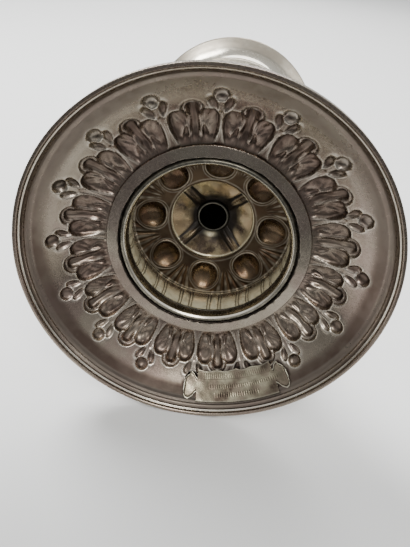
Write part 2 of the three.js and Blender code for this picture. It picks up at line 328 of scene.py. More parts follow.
class Bench:
    """Lays out one material's nodes."""

    def __init__(self, name: str) -> None:
        """Starts a material with a metal shader.

        Args:
            name: The material's name.
        """
        self.material = bpy.data.materials.new(name)
        self.material.use_nodes = True
        self.tree = self.material.node_tree
        self.shader = self.tree.nodes["Principled BSDF"]
        self.place = self.tree.nodes.new("ShaderNodeTexCoord").outputs["Object"]

    def node(self, kind: str, **settings: object) -> bpy.types.Node:
        """Adds a node.

        Args:
            kind: The node's type.
            **settings: Values for the node's own properties.

        Returns:
            The node.
        """
        made = self.tree.nodes.new(kind)
        for key, value in settings.items():
            setattr(made, key, value)
        return made

    def feed(self, socket: bpy.types.NodeSocket, value: object) -> None:
        """Links an output to a socket, or sets the socket to a plain value.

        Args:
            socket: The socket to fill.
            value: A node's output, or the plain value.
        """
        if isinstance(value, bpy.types.NodeSocket):
            self.tree.links.new(value, socket)
        else:
            socket.default_value = value

    def maths(self, operation: str, *values: object) -> bpy.types.NodeSocket:
        """Adds a sum.

        Args:
            operation: The name of the sum.
            *values: Its inputs, plain or linked.

        Returns:
            The result.
        """
        made = self.node("ShaderNodeMath", operation=operation)
        for socket, value in zip(made.inputs, values):
            self.feed(socket, value)
        return made.outputs[0]

    def mark(self, mark: Mark) -> bpy.types.NodeSocket:
        """Reads one of the mesh's marks."""
        return self.node("ShaderNodeAttribute", attribute_name=mark.value).outputs["Fac"]

    def noise(self, scale: float, detail: float) -> bpy.types.NodeSocket:
        """Adds a noise in the piece's own space.

        Args:
            scale: Its grain, in cells for each metre.
            detail: How many finer layers it has.

        Returns:
            The noise, about 0 to 1.
        """
        made = self.node("ShaderNodeTexNoise")
        made.inputs["Scale"].default_value = scale
        made.inputs["Detail"].default_value = detail
        self.feed(made.inputs["Vector"], self.place)
        return made.outputs["Fac"]

    def between(
        self, value: object, low: float, high: float, to_low: float = 0.0, to_high: float = 1.0,
    ) -> bpy.types.NodeSocket:
        """Maps a range smoothly onto another.

        Args:
            value: The input.
            low: Input that gives to_low.
            high: Input that gives to_high.
            to_low: Lowest result.
            to_high: Highest result.

        Returns:
            The mapped value.
        """
        made = self.node("ShaderNodeMapRange", interpolation_type="SMOOTHSTEP")
        names = ("Value", "From Min", "From Max", "To Min", "To Max")
        for name, number in zip(names, (value, low, high, to_low, to_high)):
            self.feed(made.inputs[name], number)
        return made.outputs["Result"]

    def blend(self, share: object, first: object, second: object) -> bpy.types.NodeSocket:
        """Mixes two colours.

        Args:
            share: How much of the second there is.
            first: The colour at 0.
            second: The colour at 1.

        Returns:
            The mixed colour.
        """
        made = self.node("ShaderNodeMix", data_type="RGBA")
        for socket, value in ((made.inputs[0], share), (made.inputs[6], first), (made.inputs[7], second)):
            self.feed(socket, (*value, 1.0) if isinstance(value, tuple) and len(value) == 3 else value)
        return made.outputs[2]

    def bump(self, height: object, distance: float) -> None:
        """Raises the shader's surface by a height.

        Args:
            height: The height, about 0 to 1.
            distance: What a height of 1 stands for, in metres.
        """
        made = self.node("ShaderNodeBump")
        self.feed(made.inputs["Height"], height)
        made.inputs["Distance"].default_value = distance
        made.inputs["Strength"].default_value = 1.0
        self.feed(self.shader.inputs["Normal"], made.outputs["Normal"])


@dataclass(frozen=True)
class SilverFinish:
    """Silver or worn gilding under a patchy film of tarnish.

    The metal is broken up by patches of film and stain. A mesh's film mark brings in the deep tarnish and,
    in places, painted shade; its grime mark brings in dirt and painted shade; its wear mark brings in the
    rubbed metal and painted highlights on top. Scales are in cells for each metre.
    """

    name: str
    slot: Slot
    metal: Colour
    film: Colour
    deep: Colour
    worn: Colour
    stain: Colour
    patch_scale: float = 45.0
    gloss: float = 0.28
    film_gloss: float = 0.42
    grain: float = 0.00003
    grain_scale: float = 900.0
    metallic: float = 1.0
    patch_range: tuple[float, float] = (0.38, 0.64)
    stain_range: tuple[float, float] = (0.46, 0.62)
    stain_share: float = 0.8
    grime_shade: float = 0.22
    grime_rough: float = 0.2

    def material(self) -> bpy.types.Material:
        """Makes the finish's material.

        Returns:
            The material.
        """
        bench = Bench(self.name)
        patches = bench.noise(self.patch_scale, 5.0)
        spots = bench.noise(self.patch_scale * 5, 3.0)
        fine = bench.noise(self.grain_scale, 4.0)
        light = bench.between(patches, *self.patch_range)
        colour = bench.blend(light, self.metal, self.film)
        stains = bench.noise(self.patch_scale * 1.6, 3.0)
        stained = bench.between(stains, *self.stain_range, 0.0, self.stain_share)
        colour = bench.blend(stained, colour, self.stain)
        uneven = bench.between(spots, 0.3, 0.7, 0.75, 1.2)
        deep = bench.maths("MULTIPLY", bench.mark(Mark.FILM), uneven)
        deep = bench.maths("MINIMUM", bench.maths("MAXIMUM", deep, 0.0), 1.0)
        colour = bench.blend(deep, colour, self.deep)
        # Dirt and painted shade darken the colour here, then rubbed metal and painted highlights lighten it.
        grime = bench.maths("MINIMUM", bench.mark(Mark.GRIME_AND_SHADE), 1.0)
        colour = bench.blend(grime, colour, tuple(c * self.grime_shade for c in self.deep))
        worn = bench.maths("MULTIPLY", bench.mark(Mark.WEAR_AND_HIGHLIGHT), bench.between(spots, 0.3, 0.6, 0.65, 1.0))
        colour = bench.blend(worn, colour, self.worn)
        bench.feed(bench.shader.inputs["Base Color"], colour)
        bench.shader.inputs["Metallic"].default_value = self.metallic
        rough = bench.maths("MAXIMUM", bench.maths("MULTIPLY", light, 0.4), deep)
        rough = bench.between(rough, 0.0, 1.0, self.gloss, self.film_gloss)
        rough = bench.maths("ADD", rough, bench.between(fine, 0.3, 0.7, -0.04, 0.05))
        rough = bench.maths("ADD", rough, bench.maths("MULTIPLY", grime, self.grime_rough))
        bench.feed(bench.shader.inputs["Roughness"], rough)
        height = bench.maths("ADD", bench.maths("MULTIPLY", fine, 0.6), bench.maths("MULTIPLY", spots, 1.4))
        bench.bump(height, self.grain)
        return bench.material


class Workshop:
    """Dresses pieces and hands them to the frame."""

    def __init__(self) -> None:
        """Makes the finishes of the chalice."""
        finishes = (
            SilverFinish(
                name="Tarnished silver", slot=Slot.TARNISHED,
                metal=(0.385, 0.335, 0.265), film=(0.30, 0.25, 0.195), deep=(0.15, 0.107, 0.086),
                worn=(0.82, 0.76, 0.65), stain=(0.315, 0.24, 0.205), patch_scale=32.0,
                gloss=0.22, film_gloss=0.30, grain=0.000012,
            ),
            SilverFinish(
                name="Grey rolled silver", slot=Slot.PLATE,
                metal=(0.38, 0.34, 0.24), film=(0.18, 0.154, 0.11), deep=(0.075, 0.056, 0.042),
                worn=(0.74, 0.70, 0.56), stain=(0.25, 0.20, 0.15), patch_scale=130.0,
                gloss=0.24, film_gloss=0.36,
            ),
            SilverFinish(
                name="Bright silver", slot=Slot.BRIGHT,
                metal=(0.62, 0.57, 0.47), film=(0.50, 0.45, 0.35), deep=(0.165, 0.155, 0.125),
                worn=(0.84, 0.79, 0.67), stain=(0.50, 0.44, 0.34), patch_scale=60.0,
                gloss=0.16, film_gloss=0.26, grain=0.000003,
            ),
            SilverFinish(
                name="Worn gilding", slot=Slot.WORN_GILT,
                metal=(0.50, 0.41, 0.235), film=(0.30, 0.23, 0.13), deep=(0.065, 0.043, 0.025),
                worn=(0.92, 0.85, 0.60), stain=(0.40, 0.285, 0.16), patch_scale=80.0,
                gloss=0.20, film_gloss=0.28, grain=0.000004, metallic=0.5,
            ),
            SilverFinish(
                name="Brown gilding", slot=Slot.BROWN_GILT,
                metal=(0.145, 0.10, 0.062), film=(0.085, 0.058, 0.035), deep=(0.03, 0.02, 0.012),
                worn=(0.60, 0.53, 0.41), stain=(0.12, 0.072, 0.045), patch_scale=96.0,
                gloss=0.28, film_gloss=0.36, grain=0.000006,
            ),
            SilverFinish(
                name="Polished cup silver", slot=Slot.CUP,
                metal=(0.52, 0.495, 0.42), film=(0.46, 0.43, 0.355), deep=(0.31, 0.275, 0.22),
                worn=(0.66, 0.64, 0.56), stain=(0.48, 0.445, 0.37), patch_scale=30.0,
                gloss=0.12, film_gloss=0.40, grain=0.00001, grain_scale=500.0,
            ),
        )
        self.materials = {finish.slot: finish.material() for finish in finishes}

    def hand_over(self, piece: bpy.types.Object, slot: Slot, *nodes: str) -> None:
        """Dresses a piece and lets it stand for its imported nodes.

        Args:
            piece: The piece.
            slot: The finish that it takes.
            *nodes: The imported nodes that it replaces.
        """
        piece.data.materials.append(self.materials[slot])
        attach(piece, BODY)
        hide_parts(*nodes)
        log.info("%s: %d faces for %s", piece.name, len(piece.data.polygons), ", ".join(nodes))


@dataclass(frozen=True)
class Ground:
    """The foot's plain ground between the flange and the rim's step."""

    outer_radius: float
    outer_rise: float
    inner_radius: float
    inner_rise: float
    bow: float = 1.9 * MM

    @property
    def slope(self) -> float:
        """The ground's mean slope, in radians."""
        return math.atan2(self.inner_rise - self.outer_rise, self.outer_radius - self.inner_radius)

    @property
    def length(self) -> float:
        """The ground's length up its slope."""
        return (self.outer_radius - self.inner_radius) / math.cos(self.slope)

    def radius(self, reach: Field) -> Field:
        """The radius at a distance up the slope from the flange."""
        return self.inner_radius + reach * math.cos(self.slope)

    def height(self, radius: Field) -> Field:
        """The height of the ground's underside.

        Args:
            radius: The place's radius.

        Returns:
            The height there.
        """
        share = (self.outer_radius - radius) / (self.outer_radius - self.inner_radius)
        risen = self.outer_rise + (self.inner_rise - self.outer_rise) * share
        return risen + 4 * self.bow * share * (1 - share)


@dataclass
class Wreath:
    """The chased wreath: leaves of a rib and two lobes, and three-lobed buds on stalks between them."""

    ground: Ground
    count: int = 16
    turn_degrees: float = -2.0
    rib_base_half: float = 1.9 * MM
    rib_head_half: float = 2.6 * MM
    rib_depth: float = 2.9 * MM
    rib_run_out: float = 7.0 * MM
    head_reach: float = 16.2 * MM
    arch_half: float = 4.1 * MM
    arch_depth: float = 1.5 * MM
    arch_leg: float = 3.2 * MM
    lobe_shoulder: float = 9.6 * MM
    lobe_top: float = 16.4 * MM
    lobe_depth: float = 2.5 * MM
    stalk_half: float = 0.75 * MM
    stalk_spread: float = 1.5 * MM
    stalk_foot: float = 9.0 * MM
    pit_aside: float = 3.5 * MM
    pit_reach: float = 4.6 * MM
    pit_long: float = 2.6 * MM
    pit_half: float = 0.85 * MM
    pit_depth: float = 0.6 * MM
    pit_ridge: float = 0.16 * MM
    rib_crease: float = 0.25 * MM
    arch_groove: float = 0.7 * MM
    arch_second: float = 0.35 * MM
    seam_depth: float = 0.5 * MM
    vein_depth: float = 0.11 * MM
    vein_turns: float = 26.0
    stalk_line: float = 0.3 * MM
    bud_reach: float = 23.0 * MM
    bud_half: float = 2.85 * MM
    bud_squash: float = 1.05
    bud_depth: float = 2.0 * MM
    drop_aside: float = 2.55 * MM
    drop_reach: float = 18.7 * MM
    drop_long: float = 3.3 * MM
    drop_wide: float = 1.4 * MM
    drop_lean: float = math.radians(19)
    drop_depth: float = 1.2 * MM
    lip: float = 0.11 * MM
    dent: float = 0.15 * MM

    def __post_init__(self) -> None:
        """Draws each leaf's and bud's own small differences."""
        draw = np.random.default_rng(SEED)
        self.first = IMAGE_BOTTOM + math.radians(self.turn_degrees)
        self.leaf_depths = draw.uniform(0.9, 1.1, self.count)
        self.leaf_shifts = draw.uniform(-0.3, 0.3, self.count) * MM
        self.leaf_leans = draw.uniform(-0.05, 0.05, self.count)
        self.bud_depths = draw.uniform(0.85, 1.15, self.count)
        self.bud_shifts = draw.uniform(-0.3, 0.3, (2, self.count)) * MM

    def stalk(self, reach: np.ndarray) -> np.ndarray:
        """Half the width of the ground that is left for a stalk between two leaves."""
        return self.stalk_half + self.stalk_spread * np.clip(1 - reach / self.stalk_foot, 0, 1) ** 1.6

    def depth(self, reach: np.ndarray, angle: np.ndarray) -> tuple[np.ndarray, np.ndarray]:
        """The wreath's depth and outline at places on the ground.

        Args:
            reach: Distances up the slope from the flange.
            angle: Angles about the axis.

        Returns:
            The depth, in metres, and the distance inside the nearest hollow's outline.
        """
        pitch = FULL_TURN / self.count * self.ground.radius(reach)
        first_leaf = self.first + math.pi / self.count
        leaf = np.round((angle - first_leaf) / (FULL_TURN / self.count)).astype(int) % self.count
        bud = np.round((angle - self.first) / (FULL_TURN / self.count)).astype(int) % self.count
        aside = within_repeat(angle, self.count, first_leaf) * pitch
        aside = aside + self.leaf_shifts[leaf] + self.leaf_leans[leaf] * reach
        from_bud = within_repeat(angle, self.count, self.first) * pitch
        leaf_depth, leaf_inside = self.leaf(aside, reach, pitch)
        bud_aside = from_bud + self.bud_shifts[0][bud] * ease(reach / self.bud_reach)
        bud_depth, bud_inside = self.bud(bud_aside, reach + self.bud_shifts[1][bud])
        below_drops = reach < self.drop_reach - self.drop_long
        lines = self.stalk_line * line(np.abs(from_bud) - 0.55 * self.stalk(reach), 0.3 * MM) * below_drops
        depth = np.maximum(leaf_depth * self.leaf_depths[leaf], bud_depth * self.bud_depths[bud])
        inside = np.maximum(leaf_inside, bud_inside)
        dents = self.dent * ripple(angle, reach, 2, (24, 96), 1.1) * ease(inside / MM)
        depth = np.maximum(depth + dents, lines * (inside < 0))
        depth = depth - self.lip * line(inside + 0.3 * MM, 0.26 * MM)
        return depth * ease(reach / (3.0 * MM)) ** 0.8, inside

    def leaf(self, aside: np.ndarray, reach: np.ndarray, pitch: np.ndarray) -> tuple[np.ndarray, np.ndarray]:
        """One leaf's depth and outline.

        Args:
            aside: Distances round the foot from the leaf's middle.
            reach: Distances up the slope from the flange.
            pitch: The room that one leaf has round the foot.

        Returns:
            The depth and the distance inside the leaf's outline.
        """
        across = np.abs(aside)
        grown = np.clip(reach / self.head_reach, 0, 1)
        rib_half = self.rib_base_half + (self.rib_head_half - self.rib_base_half) * grown
        past_head = np.clip(reach - self.head_reach, 0, None)
        from_line = np.hypot(across, past_head)
        rib_inside = rib_half - from_line
        run_out = 0.35 + 0.65 * ease(reach / self.rib_run_out)
        rib = self.rib_depth * pressed(rib_inside, 0.8 * rib_half) * run_out
        rib = rib - self.rib_crease * line(rib_inside - 0.8 * MM, 0.28 * MM) * (rib_inside > 0)

        leg = ease((reach - (self.head_reach - self.arch_leg)) / self.arch_leg)
        arch_inside = np.minimum(self.arch_half - from_line, reach - self.head_reach + self.arch_leg)
        arch = self.arch_depth * pressed(arch_inside, 1.1 * MM) * (0.3 + 0.7 * leg)
        from_rib = from_line - rib_half
        grooves = self.arch_groove * line(from_rib - 0.1 * MM, 0.26 * MM)
        grooves = grooves + self.arch_second * line(from_rib - 0.85 * MM, 0.24 * MM)
        arch = arch - grooves * (arch_inside > 0)

        inner, outer = rib_half - 0.3 * MM, pitch / 2 - self.stalk(reach)
        middle, half = (inner + outer) / 2, (outer - inner) / 2
        over = np.clip((reach - self.lobe_shoulder) / (self.lobe_top - self.lobe_shoulder), 0, None)
        to_side = (across - middle) / half
        shrunk = (np.abs(np.where(to_side < 0, 0.66 * to_side, to_side)) ** 2.2 + over ** 2.0) ** (1 / 2.1)
        lobe_inside = (1 - shrunk) * half
        fullness = 0.62 + 0.38 * ease((reach - 4 * MM) / (8 * MM))
        lobe = self.lobe_depth * fullness * pressed(lobe_inside, 1.7 * MM)
        fan = np.arctan2(reach - 3.0 * MM, across - inner + 0.8 * MM)
        veined = swell((reach - 12 * MM) / (7 * MM)) * pressed(lobe_inside, 2 * MM)
        veins = self.vein_depth * np.cos(fan * self.vein_turns) * veined
        up_pit = (reach - self.pit_reach) / self.pit_long
        pit_wide = self.pit_half * (1 - 0.45 * np.clip(up_pit, -1, 1))
        off_pit = (across - self.pit_aside + 0.3 * MM * up_pit) / pit_wide
        pit_inside = (1 - np.hypot(up_pit, off_pit)) * self.pit_half
        pit = self.pit_depth * pressed(pit_inside, 0.8 * MM)
        ridge = self.pit_ridge * line(pit_inside + 0.28 * MM, 0.26 * MM) * pressed(lobe_inside, MM)
        seam = self.seam_depth * line(rib_inside + 0.1 * MM, 0.24 * MM)
        lobe = np.where(lobe_inside > 0, np.maximum(lobe - veins + pit - seam - ridge, 0), 0)
        inside = np.maximum(np.maximum(rib_inside, arch_inside), lobe_inside)
        return np.maximum(np.maximum(rib, arch), lobe), inside

    def bud(self, aside: np.ndarray, reach: np.ndarray) -> tuple[np.ndarray, np.ndarray]:
        """One bud's depth and outline.

        Args:
            aside: Distances round the foot from the bud's middle.
            reach: Distances up the slope from the flange.

        Returns:
            The depth and the distance inside the bud's outline.
        """
        across = np.abs(aside)
        from_ball = np.hypot(across, (reach - self.bud_reach) * self.bud_squash)
        ball_inside = self.bud_half - from_ball
        ball = self.bud_depth * pressed(ball_inside, 0.9 * self.bud_half)
        from_drop, up_drop = across - self.drop_aside, reach - self.drop_reach
        along = from_drop * math.sin(self.drop_lean) + up_drop * math.cos(self.drop_lean)
        off = from_drop * math.cos(self.drop_lean) - up_drop * math.sin(self.drop_lean)
        wide = self.drop_wide * (1 + 0.3 * np.clip(along / self.drop_long, -1, 1))
        drop_inside = (1 - np.hypot(along / self.drop_long, off / wide)) * self.drop_wide
        drop = self.drop_depth * pressed(drop_inside, self.drop_wide)
        return np.maximum(ball, drop), np.maximum(ball_inside, drop_inside)


@dataclass
class Foot:
    """The raised foot with its turned rim, its ground, the chased wreath and the flange."""

    span: Span
    collar: Span
    opening_radius: float
    sheet: float = 1.0 * MM
    stand_width: float = 1.4 * MM
    lip_inset: float = 1.9 * MM
    lip_rise: float = 1.8 * MM
    step_inset: float = 2.7 * MM
    step_rise: float = 4.1 * MM
    band_height: float = 3.4 * MM
    cavetto_width: float = 2.2 * MM
    cavetto_rise: float = 2.1 * MM
    flange_rise: float = 23.2 * MM
    columns: int = 864
    row_step: float = 0.45 * MM
    row_step_over: float = 0.9 * MM
    unevenness: float = 0.05 * MM
    wreath_length: float = 26.4 * MM
    dark_band: float = 61.8 * MM
    worn_curve: float = 5000.0
    grime_curve: float = 1600.0

    @property
    def ground(self) -> Ground:
        """The ground that the wreath and the plaque lie on.

        Returns:
            The ground.
        """
        return Ground(
            outer_radius=self.span.radius - self.step_inset - self.cavetto_width,
            outer_rise=self.step_rise + self.cavetto_rise,
            inner_radius=self.collar.radius,
            inner_rise=self.flange_rise,
        )

    def build(self, plaque: "MakerPlaque") -> bpy.types.Object:
        """Lays the foot's skin: rim, outside, flange, underside and the rim's lines inside.

        Args:
            plaque: The plate that a painted shadow is laid round.

        Returns:
            The piece.
        """
        skin = Skin("foot_skin")
        plain, coarse, fine = (columns_round(self.columns // share) for share in (4, 2, 1))
        edge = self.span.radius
        step = edge - self.step_inset
        for radius, height in rounded([
            (edge - 0.2 * MM, 0.0, 0.0),
            (edge, 0.0, 0.3 * MM),
            (edge, self.band_height * 0.42, 0.1 * MM),
            (edge - 0.35 * MM, self.band_height * 0.5, 0.15 * MM),
            (edge, self.band_height * 0.58, 0.1 * MM),
            (edge, self.band_height, 0.35 * MM),
            (step + self.sheet + 0.6 * MM, self.step_rise + 0.2 * MM, 0.3 * MM),
            (step + self.sheet, self.step_rise + self.sheet, 0.3 * MM),
        ], 0.5 * MM, closed=False):
            skin.ring(radius, height, plain, worn=0.15)
        self.chased(skin, coarse, self.row_step_over, plaque, over=True)
        for radius, height in rounded([
            (self.collar.radius, self.flange_rise + self.sheet, 0.0),
            (self.opening_radius, self.flange_rise + self.sheet, 0.2 * MM),
            (self.opening_radius, self.flange_rise, 0.2 * MM),
            (self.opening_radius + 1.5 * MM, self.flange_rise, 0.0),
        ], 1.5 * MM, closed=False):
            skin.ring(radius, height, plain, grime=0.7)
        skin.ring(self.collar.radius - 1.0 * MM, self.flange_rise, coarse, grime=0.7)
        skin.ring(self.collar.radius, self.flange_rise, fine, grime=0.7)
        self.chased(skin, fine, self.row_step, plaque, over=False)
        self.rim(skin, plain)
        return skin.build()

    def chased(
        self, skin: Skin, angle: np.ndarray, row_step: float, plaque: "MakerPlaque", over: bool,
    ) -> None:
        """Adds the ground and its wreath on one face.

        Args:
            skin: The skin that the rings go to.
            angle: The columns' angles.
            row_step: Distance between rows.
            plaque: The plate that a painted shadow is laid round.
            over: Whether it is the outer face, which is laid from the rim inwards.
        """
        ground = self.ground
        wreath = Wreath(ground)
        rows = math.ceil(self.wreath_length / row_step)
        reaches = np.arange(1, rows + 1) / rows * self.wreath_length
        outer = np.arange(1, math.ceil((ground.length - self.wreath_length) / self.row_step_over))
        reaches = np.append(reaches, self.wreath_length + outer * self.row_step_over)
        reach, around = np.meshgrid(reaches, angle, indexing="ij")
        depth, inside = wreath.depth(reach, around)
        ends = ease(reach / (4 * MM)) * ease((ground.length - reach) / (2 * MM))
        depth = depth + self.unevenness * ripple(around, reach, 1) * ends
        across = ground.radius(reach) * (angle[1] - angle[0])
        curve = np.gradient(np.gradient(depth, reaches, axis=0), reaches, axis=0)
        curve = curve + (np.roll(depth, -1, 1) - 2 * depth + np.roll(depth, 1, 1)) / across ** 2
        curve = (curve + np.roll(curve, 1, 1) + np.roll(curve, -1, 1)) / 3 * (-1 if over else 1)
        curve = (curve + np.roll(curve, 2, 1) + np.roll(curve, -2, 1)) / 3
        film, worn, grime = self.tarnish(reach, around, inside, curve, plaque)
        lift = self.sheet if over else 0.0
        order = range(len(reaches) - 1, -1, -1) if over else range(len(reaches))
        for row in order:
            radius = ground.radius(reaches[row])
            push = depth[row] + lift
            every = 1 if over or reaches[row] <= self.wreath_length else 2
            skin.ring(
                (radius + push * math.sin(ground.slope))[::every],
                (ground.height(radius) + push * math.cos(ground.slope))[::every], angle[::every],
                film=film[row][::every], worn=worn[row][::every], grime=grime[row][::every])

    def tarnish(
        self, reach: np.ndarray, around: np.ndarray, inside: np.ndarray, curve: np.ndarray,
        plaque: "MakerPlaque",
    ) -> tuple[np.ndarray, np.ndarray, np.ndarray]:
        """Where film, wear and grime lie on the ground and in its hollows, together with painted highlights
        and shade.

        Args:
            reach: Distances up the slope from the flange.
            around: Angles about the axis.
            inside: Distances inside the nearest hollow's outline.
            curve: How strongly the surface stands out, negative where it sinks.
            plaque: The plate that a painted shadow is laid round.

        Returns:
            The film with painted shade, the wear with painted highlights, and the grime with painted shade.
        """
        high_up, low_side_shade = np.clip(-np.sin(around), 0, 1), np.clip(np.sin(around), 0, 1)
        # Thin bright lines round the hollows' outlines: partly wear, partly painted highlight.
        outlines = 0.32 * line(inside + 0.22 * MM, 0.28 * MM) * ease(reach / (2 * MM))
        worn = np.clip(curve / self.worn_curve, 0, 0.35) + outlines
        # A painted highlight on the outer ground on the side opposite IMAGE_BOTTOM.
        worn = worn + 0.34 * high_up * ease((reach - 21 * MM) / (2 * MM))
        # Darker in the creases: partly dirt, partly painted shade.
        grime = np.clip(-curve / self.grime_curve, 0, 1) * 0.8 * (inside > -0.8 * MM)
        # Painted shade near the flange on the side opposite IMAGE_BOTTOM.
        grime = np.maximum(grime, 0.5 * high_up * ease((10 * MM - reach) / (8 * MM)) * (inside < 0))
        radius = self.ground.radius(reach)
        band = ease((radius - self.dark_band) / (3.4 * MM))
        film = band * (0.9 + 0.35 * ripple(around, reach, 11, (1, 9), 0.6))
        # Painted shade on the outer band, growing towards the IMAGE_BOTTOM side.
        film = np.maximum(film, 0.5 * low_side_shade ** 2)
        # Dirt on the outer band, with painted shade that grows towards the IMAGE_BOTTOM side.
        grime = np.maximum(grime, band * (0.2 + 0.66 * low_side_shade ** 3 + 0.1 * np.abs(np.cos(around))))
        # Film on the stalk ground near the flange, heavier on the side opposite IMAGE_BOTTOM as painted
        # shade.
        between = ease((18 * MM + 4 * MM * high_up - reach) / (4 * MM)) * (0.6 - 0.25 * np.sin(around))
        hollows = ease(inside / MM) * (0.5 + 0.35 * ripple(around, reach, 12, (1, 5), 0.1))
        film = np.maximum(np.maximum(film, between), hollows)
        # A painted shadow round the plate darkens the ground beside it.
        plate_shadow = plaque.plate_shadow(radius, around)
        return np.maximum(film, plate_shadow), worn, np.maximum(grime, 0.9 * plate_shadow)

    def rim(self, skin: Skin, angle: np.ndarray) -> None:
        """Adds the lines inside the rim: cavetto, step, cavetto, lip and the flat that the foot stands on.

        Args:
            skin: The skin that the rings go to.
            angle: The columns' angles.
        """
        edge = self.span.radius
        step, lip = edge - self.step_inset, edge - self.lip_inset
        outline = rounded([
            (self.ground.outer_radius, self.ground.outer_rise, 0.0),
            (step - 1.0 * MM, self.step_rise + 1.45 * MM, 1.2 * MM),
            (step - 0.3 * MM, self.step_rise + 0.6 * MM, 0.5 * MM),
            (step - 0.1 * MM, self.step_rise - 0.05 * MM, 0.5 * MM),
            (step + 0.2 * MM, self.step_rise - 0.5 * MM, 0.4 * MM),
            (lip - 0.15 * MM, self.lip_rise + 0.9 * MM, 0.5 * MM),
            (lip - 0.3 * MM, self.lip_rise + 0.1 * MM, 0.15 * MM),
            (lip + 0.25 * MM, self.lip_rise - 0.35 * MM, 0.2 * MM),
            (edge - self.stand_width, 0.35 * MM, 0.25 * MM),
            (edge - self.stand_width + 0.35 * MM, 0.0, 0.2 * MM),
            (edge - 0.35 * MM, 0.0, 0.0),
        ], 0.45 * MM, closed=False)
        for radius, height in outline:
            over_step, over_lip = height - self.step_rise, height - self.lip_rise
            ridge = max(line(over_step, 0.5 * MM), line(over_lip, 0.45 * MM))
            # Painted shadow in the bands above the step and the lip.
            painted_shade = max(line(over_step - 1.1 * MM, 0.7 * MM), line(over_lip - 1.2 * MM, 0.6 * MM))
            # Bright lines on the ridges below the step: partly wear, partly painted highlight.
            bright = 0.8 if over_step < -0.9 * MM else 0.05
            # Painted shade on the IMAGE_BOTTOM side, strongest above the step.
            low_share = (0.9 if over_step > 0.3 * MM else 0.3) * (over_lip > 0.4 * MM)
            low_side_shade = low_share * np.clip(np.sin(angle), 0, 1) ** 2
            skin.ring(
                radius, height, angle, film=max(0.65 - bright * ridge, 0.0), worn=max(bright * ridge, 0.08),
                grime=np.maximum(0.5 * painted_shade, low_side_shade))


@dataclass(frozen=True)
class TickRow:
    """A row of upright ticks, as shares of half the plate's length, half its height and the full depth."""

    middle: float
    start: float
    end: float
    tall: float
    depth: float


